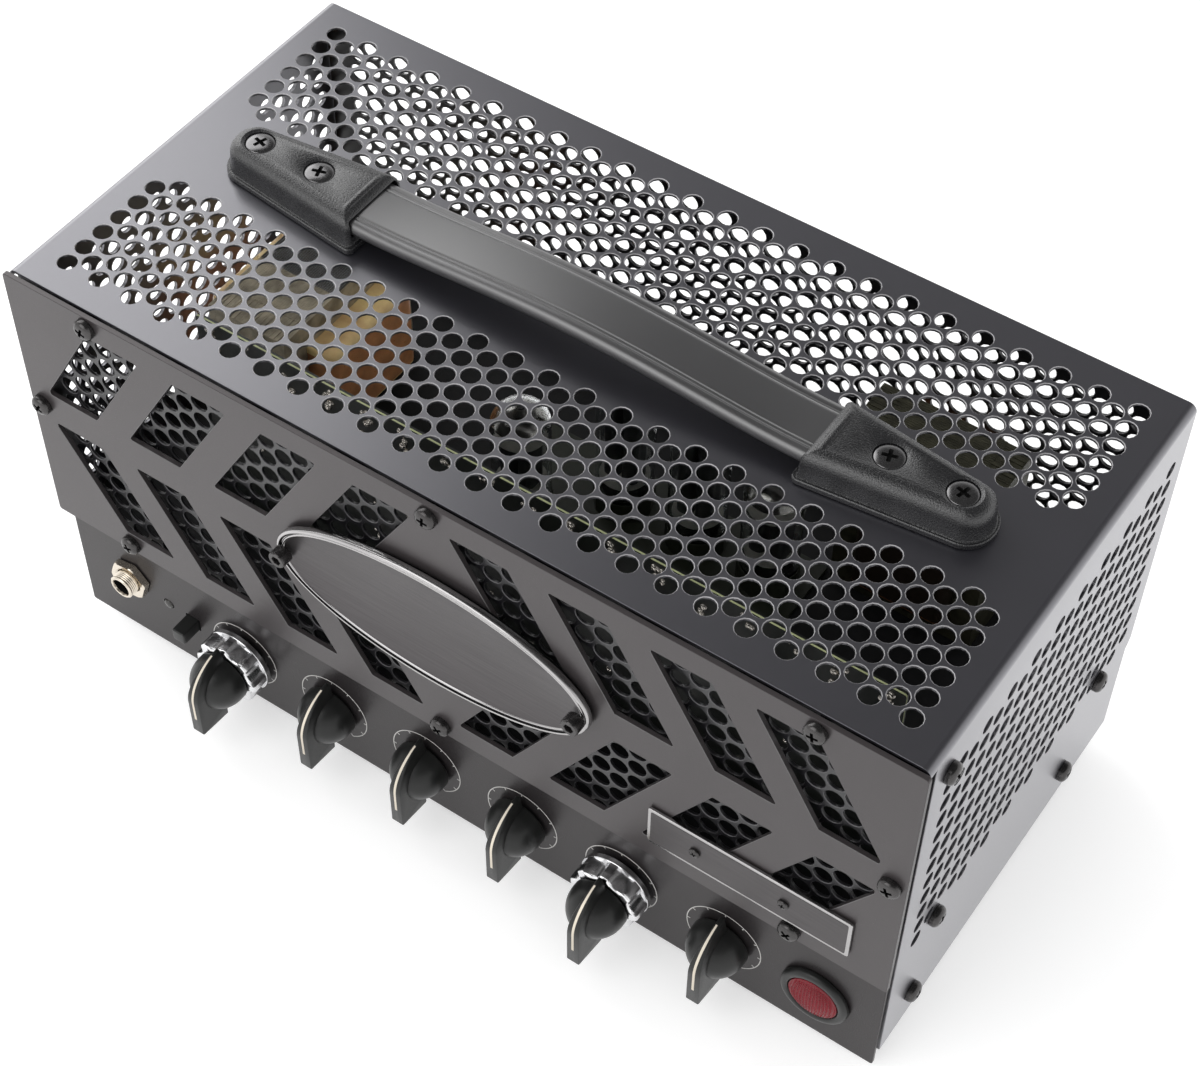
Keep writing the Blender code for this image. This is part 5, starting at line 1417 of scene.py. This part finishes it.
def node(tree, kind, **inputs):
    """A new shader node, its sockets filled."""
    made = tree.nodes.new("ShaderNode" + kind)
    fill_inputs(tree, made, inputs)
    return made


def blank(owner, output):
    """An empty node tree of a material or the world, and the surface socket of its output."""
    owner.use_nodes = True
    tree = owner.node_tree
    tree.nodes.clear()
    return tree, node(tree, output).inputs["Surface"]


def material(name, colour, metallic=0.0, roughness=0.4, spread=0.06, tint=0.12, grain=2600.0,
             bump=0.00003, blotch=60.0, stretch=(1.0, 1.0, 1.0), **sockets):
    """A Principled finish whose colour, gloss and surface vary with noise at two scales."""
    made = bpy.data.materials.new(name)
    made.use_nodes = True
    tree = made.node_tree
    place = node(tree, "Mapping", Scale=stretch, Vector=node(tree, "TexCoord").outputs["Object"])
    fine = node(tree, "TexNoise", Scale=grain, Detail=3.0, Vector=place.outputs["Vector"])
    broad = node(tree, "TexNoise", Scale=blotch, Detail=5.0, Vector=place.outputs["Vector"])
    ramp = node(tree, "ValToRGB", Fac=broad.outputs["Fac"])
    for stop, position, share in zip(ramp.color_ramp.elements, (0.3, 0.7), (1 - tint, 1 + tint)):
        stop.position = position
        stop.color = (*[min(1.0, c * share) for c in colour], 1.0)
    gloss = node(tree, "MapRange", Value=fine.outputs["Fac"], From_Min=0.25, From_Max=0.75,
                 To_Min=max(0.02, roughness - spread), To_Max=roughness + spread)
    sockets.update(Metallic=metallic, Base_Color=ramp.outputs["Color"], Roughness=gloss.outputs["Result"])
    if bump:
        relief = node(tree, "Bump", Distance=bump, Strength=1.0, Height=fine.outputs["Fac"])
        sockets["Normal"] = relief.outputs["Normal"]
    fill_inputs(tree, tree.nodes["Principled BSDF"], sockets)
    return made


def make_materials():
    """Every finish of the object, by its short name."""
    m = {}
    m["coat"] = material(
        "black_powder_coat", (0.0090, 0.0088, 0.0115), roughness=0.34, grain=2200, bump=0.000018,
        IOR=2.0, Specular_Tint=COAT_SHEEN, Coat_Weight=1.0, Coat_Roughness=0.30, Coat_IOR=1.9,
        Coat_Tint=(0.965, 0.96, 1.0, 1.0),
    )
    m["grille_coat"] = material(
        "grille_coat", (0.0080, 0.0078, 0.0095), roughness=0.36, grain=2200, bump=0.000015, IOR=1.6,
    )
    # Lighter coat for the grilles' hole rims: a painted highlight.
    m["worn_grille"] = material(
        "worn_grille_coat", (0.060, 0.058, 0.062), roughness=0.30, bump=0.000010,
        tint=0.3, IOR=1.7,
    )
    m["dull_coat"] = material(
        "dull_black_coat", (0.012, 0.012, 0.013), roughness=0.62, grain=1800, bump=0.00002, IOR=1.35,
    )
    m["paint"] = material(
        "grey_satin_paint", (0.034, 0.0300, 0.0310), roughness=0.33, grain=3200, bump=0.000012,
        tint=0.06, IOR=1.53, Specular_Tint=PAINT_SHEEN,
    )
    # A darker, less glossy copy of the plate's paint for the lower panel: painted shade.
    m["panel_paint"] = material(
        "shaded_panel_satin_paint", (0.021, 0.0186, 0.0192), roughness=0.31, grain=3200, bump=0.000012,
        tint=0.06, IOR=1.36, Specular_Tint=PAINT_SHEEN,
    )
    # Lighter coat for the cover's hole rims: a painted highlight.
    m["worn_coat"] = material(
        "rim_highlight_black_coat", (0.30, 0.295, 0.305), roughness=0.28, bump=0.000010,
        tint=0.3, IOR=1.9,
    )
    # Lighter paint for the plate's vent edges and the panel's hole rims: a painted highlight.
    m["worn_paint"] = material(
        "rim_highlight_grey_paint", (0.080, 0.076, 0.077), roughness=0.32, grain=3200, bump=0.000010,
        tint=0.3, IOR=1.8,
    )
    m["steel"] = material(
        "zinc_steel", (0.46, 0.46, 0.45), 1.0, 0.34, stretch=(1, 8, 1), grain=900, bump=0.00001,
    )
    m["dark_steel"] = material(
        "blackened_steel", (0.075, 0.072, 0.072), 0.9, 0.26, grain=1800, bump=0.00001,
    )
    m["head_steel"] = material("head_steel", (0.19, 0.187, 0.19), 1.0, 0.25, grain=1800, bump=0.00001)
    m["gunmetal"] = material(
        "gunmetal_brushed", (0.080, 0.074, 0.076), 0.8, 0.36, stretch=(1, 1, 30), grain=500,
        bump=0.000006,
    )
    m["alloy"] = material(
        "collar_alloy", (0.78, 0.78, 0.79), 1.0, 0.20, 0.04, 0.05, grain=900, bump=0.000003,
    )
    m["rim"] = material(
        "rim_nickel", (0.44, 0.43, 0.43), 1.0, 0.20, 0.04, 0.06, grain=900, bump=0.000003,
    )
    # Near-black finish: painted shade in the screw recesses, the badge's foot and groove and the jack's
    # bore, and the own black of the tubes' bases.
    m["groove"] = material("painted_recess_shade_and_black_base", (0.004, 0.004, 0.004), 0.0, 0.6, Specular_IOR_Level=0.1)
    m["nickel"] = material("warm_nickel", (0.74, 0.67, 0.57), 1.0, 0.24, grain=1200, bump=0.000006)
    m["plastic"] = material(
        "knob_plastic", (0.013, 0.0134, 0.013), 0.0, 0.34, grain=2400, bump=0.000010, IOR=1.42,
    )
    m["grained"] = material(
        "grained_plastic", (0.0095, 0.0095, 0.0108), 0.0, 0.28, grain=2100, bump=0.00019, IOR=1.8,
    )
    m["rubber"] = material(
        "strap_rubber", (0.020, 0.0195, 0.021), 0.0, 0.38, bump=0.000012, IOR=1.85,
        Coat_Weight=0.9, Coat_Roughness=0.34, Coat_IOR=1.8,
    )
    m["foot"] = material("foot_rubber", (0.018, 0.018, 0.018), 0.0, 0.75, grain=1600, bump=0.00004)
    m["ivory"] = material("ivory_line", (0.74, 0.67, 0.56), 0.0, 0.5, grain=3000, bump=0.00001)
    m["print"] = material("pale_print", (0.62, 0.61, 0.59), 0.0, 0.5, grain=4000, bump=0.000004)
    m["red"] = material(
        "red_jewel", (0.205, 0.0110, 0.0190), 0.0, 0.16, 0.03, 0.2, grain=900, bump=0.000004,
        Transmission_Weight=0.2, IOR=1.45, Specular_IOR_Level=0.25,
    )
    m["clear"] = material(
        "smoked_lens", (0.06, 0.058, 0.055), 0.0, 0.12, 0.03, grain=900, bump=0.000002,
        Transmission_Weight=0.3,
    )
    m["board"] = material("board_laminate", (0.020, 0.024, 0.014), 0.0, 0.5, grain=900, bump=0.00002)
    m["iron"] = material(
        "varnished_iron", (0.060, 0.058, 0.036), 0.4, 0.45, blotch=220, tint=0.4, grain=1400,
    )
    m["pale_iron"] = material(
        "bare_iron", (0.38, 0.335, 0.245), 0.2, 0.42, blotch=160, tint=0.45, grain=1400,
    )
    m["band"] = material(
        "insulating_band", (0.92, 0.91, 0.94), 0.0, 0.35, blotch=140, tint=0.25, grain=700,
    )
    m["paper"] = material(
        "winding_paper", (0.97, 0.57, 0.26), 0.0, 0.34, blotch=90, tint=0.35, grain=600, bump=0.00004,
    )
    m["tape"] = material(
        "brown_tape", (0.56, 0.25, 0.105), 0.0, 0.32, blotch=120, tint=0.25, grain=700,
    )
    m["dark_tape"] = material(
        "dark_tape", (0.020, 0.014, 0.010), 0.0, 0.40, blotch=120, grain=700,
    )
    m["copper"] = material("copper_wire", (0.55, 0.25, 0.12), 0.9, 0.35, grain=900, bump=0.00002)
    m["mask"] = material("solder_mask", (0.012, 0.014, 0.012), 0.0, 0.35, grain=900, bump=0.00001)
    # The board's pale edge band: the laminate's own colour, narrowed to a thin line that is a painted
    # highlight.
    m["laminate"] = material("laminate_edge", (0.46, 0.50, 0.26), 0.0, 0.5, grain=1500, bump=0.00002)
    m["solder"] = material("solder", (0.70, 0.66, 0.60), 1.0, 0.20, grain=1500, bump=0.00002)
    m["glass"] = material(
        "tube_glass_clear", (0.92, 0.94, 0.94), 0.0, 0.03, 0.01, 0.01, grain=400, bump=0.0,
        Transmission_Weight=1.0, IOR=1.47,
    )
    m["getter"] = material(
        "getter_silver", (0.30, 0.285, 0.265), 1.0, 0.22, 0.04, 0.15, grain=300, bump=0.0,
    )
    m["mica"] = material("mica_white", (0.70, 0.68, 0.62), 0.0, 0.4, grain=900, bump=0.00001)
    m["anode"] = material("anode_grey", (0.10, 0.10, 0.10), 0.6, 0.5, grain=900, bump=0.00002)
    return m


CAD_FINISHES = {
    "steel": ["shaft_" + n for n in KNOB_NAMES],
    "coat": ["bottom_plate", "chassis_rear_wall_jacks", "chassis_rear_wall_mains"],
    "dull_coat": ["chassis_tray", "chassis_front_wall"],
    "plastic": ["button_switch", "speaker_jack_1", "speaker_jack_2", "mains_inlet", "power_switch_frame",
                "standby_switch_frame", "power_rocker", "standby_rocker"],
    "foot": ["foot_1", "foot_2", "foot_3", "foot_4"],
    "board": ["control_board", "tube_board"],
}


def dress_cad(m):
    """Finishes and softened edges for the CAD nodes that stay in view."""
    for finish, names in CAD_FINISHES.items():
        for name in names:
            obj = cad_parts[name]
            obj.data.materials.clear()
            obj.data.materials.append(m[finish])
            soften(obj, CAD_BEVEL, 40)


# Stage, light and camera

FLOOR_REACH = 12.0
FLOOR_SHADE = 0.74
FLOOR_GLOW = 0.42
SWEEP = (0.35, 1.0)         # height on the sky where the white ends, and its level
CEILING = (0.65, 0.10)      # height on the sky where the ceiling begins, and its level
FILL = 0.95
LIT_MIDDLE = (0, 0, 0.09)
SOFTBOXES = (               # name, direction, distance, size and watts
    ("left_box", (-0.78, 0.24, 0.58), 1.2, 0.9, 5.6),
    ("front_box", (-0.30, -0.80, 0.75), 1.4, 1.0, 6.0),
)


def looked_at(tree):
    """Socket that is 1 for rays from the camera, a reflection or a clear piece, and 0 for diffuse light."""
    path = node(tree, "LightPath")
    found = path.outputs["Is Camera Ray"]
    for kind in ("Is Glossy Ray", "Is Transmission Ray"):
        either = node(tree, "Math", Value=found)
        either.operation = "MAXIMUM"
        tree.links.new(path.outputs[kind], either.inputs[1])
        found = either.outputs[0]
    return found


def make_floor():
    """Wide white floor that keeps the object's shadow."""
    mesh = bpy.data.meshes.new("floor")
    corners = corners_of(FLOOR_REACH, -FLOOR_REACH, FLOOR_REACH)
    mesh.from_pydata(lifted(corners, 0.0), [], [(0, 1, 2, 3)])
    floor = linked("floor", mesh)
    made = bpy.data.materials.new("floor_white")
    tree, surface = blank(made, "OutputMaterial")
    diffuse = node(tree, "BsdfDiffuse", Color=(FLOOR_SHADE, FLOOR_SHADE, FLOOR_SHADE, 1))
    level = node(tree, "Math", Value=looked_at(tree))
    level.operation = "MULTIPLY"
    level.inputs[1].default_value = FLOOR_GLOW
    glow = node(tree, "Emission", Color=(1, 1, 1, 1), Strength=level.outputs[0])
    both = node(tree, "AddShader")
    tree.links.new(diffuse.outputs[0], both.inputs[0])
    tree.links.new(glow.outputs[0], both.inputs[1])
    tree.links.new(both.outputs[0], surface)
    mesh.materials.append(made)


def make_world():
    """White sweep and dimmer ceiling where they are looked at, and an even fill for diffuse light."""
    world = bpy.data.worlds.new("studio")
    bpy.context.scene.world = world
    tree, surface = blank(world, "OutputWorld")
    split = node(tree, "SeparateXYZ", Vector=node(tree, "TexCoord").outputs["Generated"])
    ramp = node(tree, "ValToRGB", Fac=split.outputs["Z"])
    ramp.color_ramp.interpolation = "EASE"
    for stop, (rise, shade) in zip(ramp.color_ramp.elements, (SWEEP, CEILING)):
        stop.position = rise
        stop.color = (shade, shade, shade, 1)
    seen = node(tree, "Background", Color=ramp.outputs["Color"])
    fill = node(tree, "Background", Strength=FILL, Color=(1, 1, 1, 1))
    choice = node(tree, "MixShader", Fac=looked_at(tree))
    tree.links.new(fill.outputs[0], choice.inputs[1])
    tree.links.new(seen.outputs[0], choice.inputs[2])
    tree.links.new(choice.outputs[0], surface)


def softbox(name, toward, distance, size, power):
    """A square soft light in a direction from the object's middle, facing it."""
    lamp = bpy.data.lights.new(name, "AREA")
    lamp.shape = "RECTANGLE"
    lamp.size = lamp.size_y = size
    lamp.energy = power
    obj = linked(name, lamp)
    way = Vector(toward).normalized()
    obj.location = Vector(LIT_MIDDLE) + way * distance
    obj.rotation_euler = (-way).to_track_quat("-Z", "Y").to_euler()


def make_camera():
    """Camera at the photograph's place, tilt and framing."""
    lens = bpy.data.cameras.new("photo_camera")
    lens.lens = CAMERA_LENS
    lens.sensor_width = 36.0
    lens.shift_x, lens.shift_y = CAMERA_SHIFT
    lens.clip_start = 0.01
    lens.clip_end = 100.0
    camera = linked("photo_camera", lens)
    a = CAMERA_AZIMUTH
    e = CAMERA_ELEVATION
    ahead = Vector((-math.sin(a) * math.cos(e), math.cos(a) * math.cos(e), -math.sin(e)))
    right = Vector((math.cos(a), math.sin(a), 0.0))
    down = ahead.cross(right)
    c = math.cos(CAMERA_ROLL)
    s = math.sin(CAMERA_ROLL)
    x = c * right + s * down
    y = -(c * down - s * right)
    matrix = Matrix((x, y, -ahead)).transposed().to_4x4()
    matrix.translation = Vector(CAMERA_PLACE)
    camera.matrix_world = matrix
    bpy.context.scene.camera = camera


def main():
    m = make_materials()
    make_cover(m["coat"], m["worn_coat"])
    make_grilles(m["grille_coat"], m["worn_grille"])
    make_face_plate(m["paint"], m["worn_paint"])
    make_front_panel(m["panel_paint"], m["worn_paint"])
    make_screws(m["dark_steel"], m["groove"])
    make_caps(m["grained"], m["head_steel"], m["groove"])
    make_strap(m["rubber"])
    make_badge(m["rim"], m["gunmetal"], m["dark_steel"], m["groove"])
    make_strip(m["rim"], m["gunmetal"], m["dark_steel"], m["groove"])
    make_knobs(m["plastic"], m["ivory"])
    make_collars(m["alloy"], m["dark_steel"])
    make_dials(m["print"])
    make_jack(m["nickel"], m["groove"])
    make_pilot(m["plastic"], m["red"])
    make_small_controls(m["clear"], m["plastic"])
    wraps = {
        "power_transformer": [m["copper"], m["dark_tape"]],
        "output_transformer": [m["paper"], m["tape"]],
    }
    irons = {"power_transformer": [m["iron"]], "output_transformer": [m["pale_iron"], m["band"]]}
    make_transformers(irons, wraps)
    make_front_board(m["mask"], m["laminate"], m["solder"])
    make_tubes(m["glass"], m["anode"], m["mica"], m["getter"], m["groove"])
    dress_cad(m)
    make_floor()
    make_world()
    for box in SOFTBOXES:
        softbox(*box)
    make_camera()
    bpy.context.scene.view_settings.view_transform = "Standard"


main()
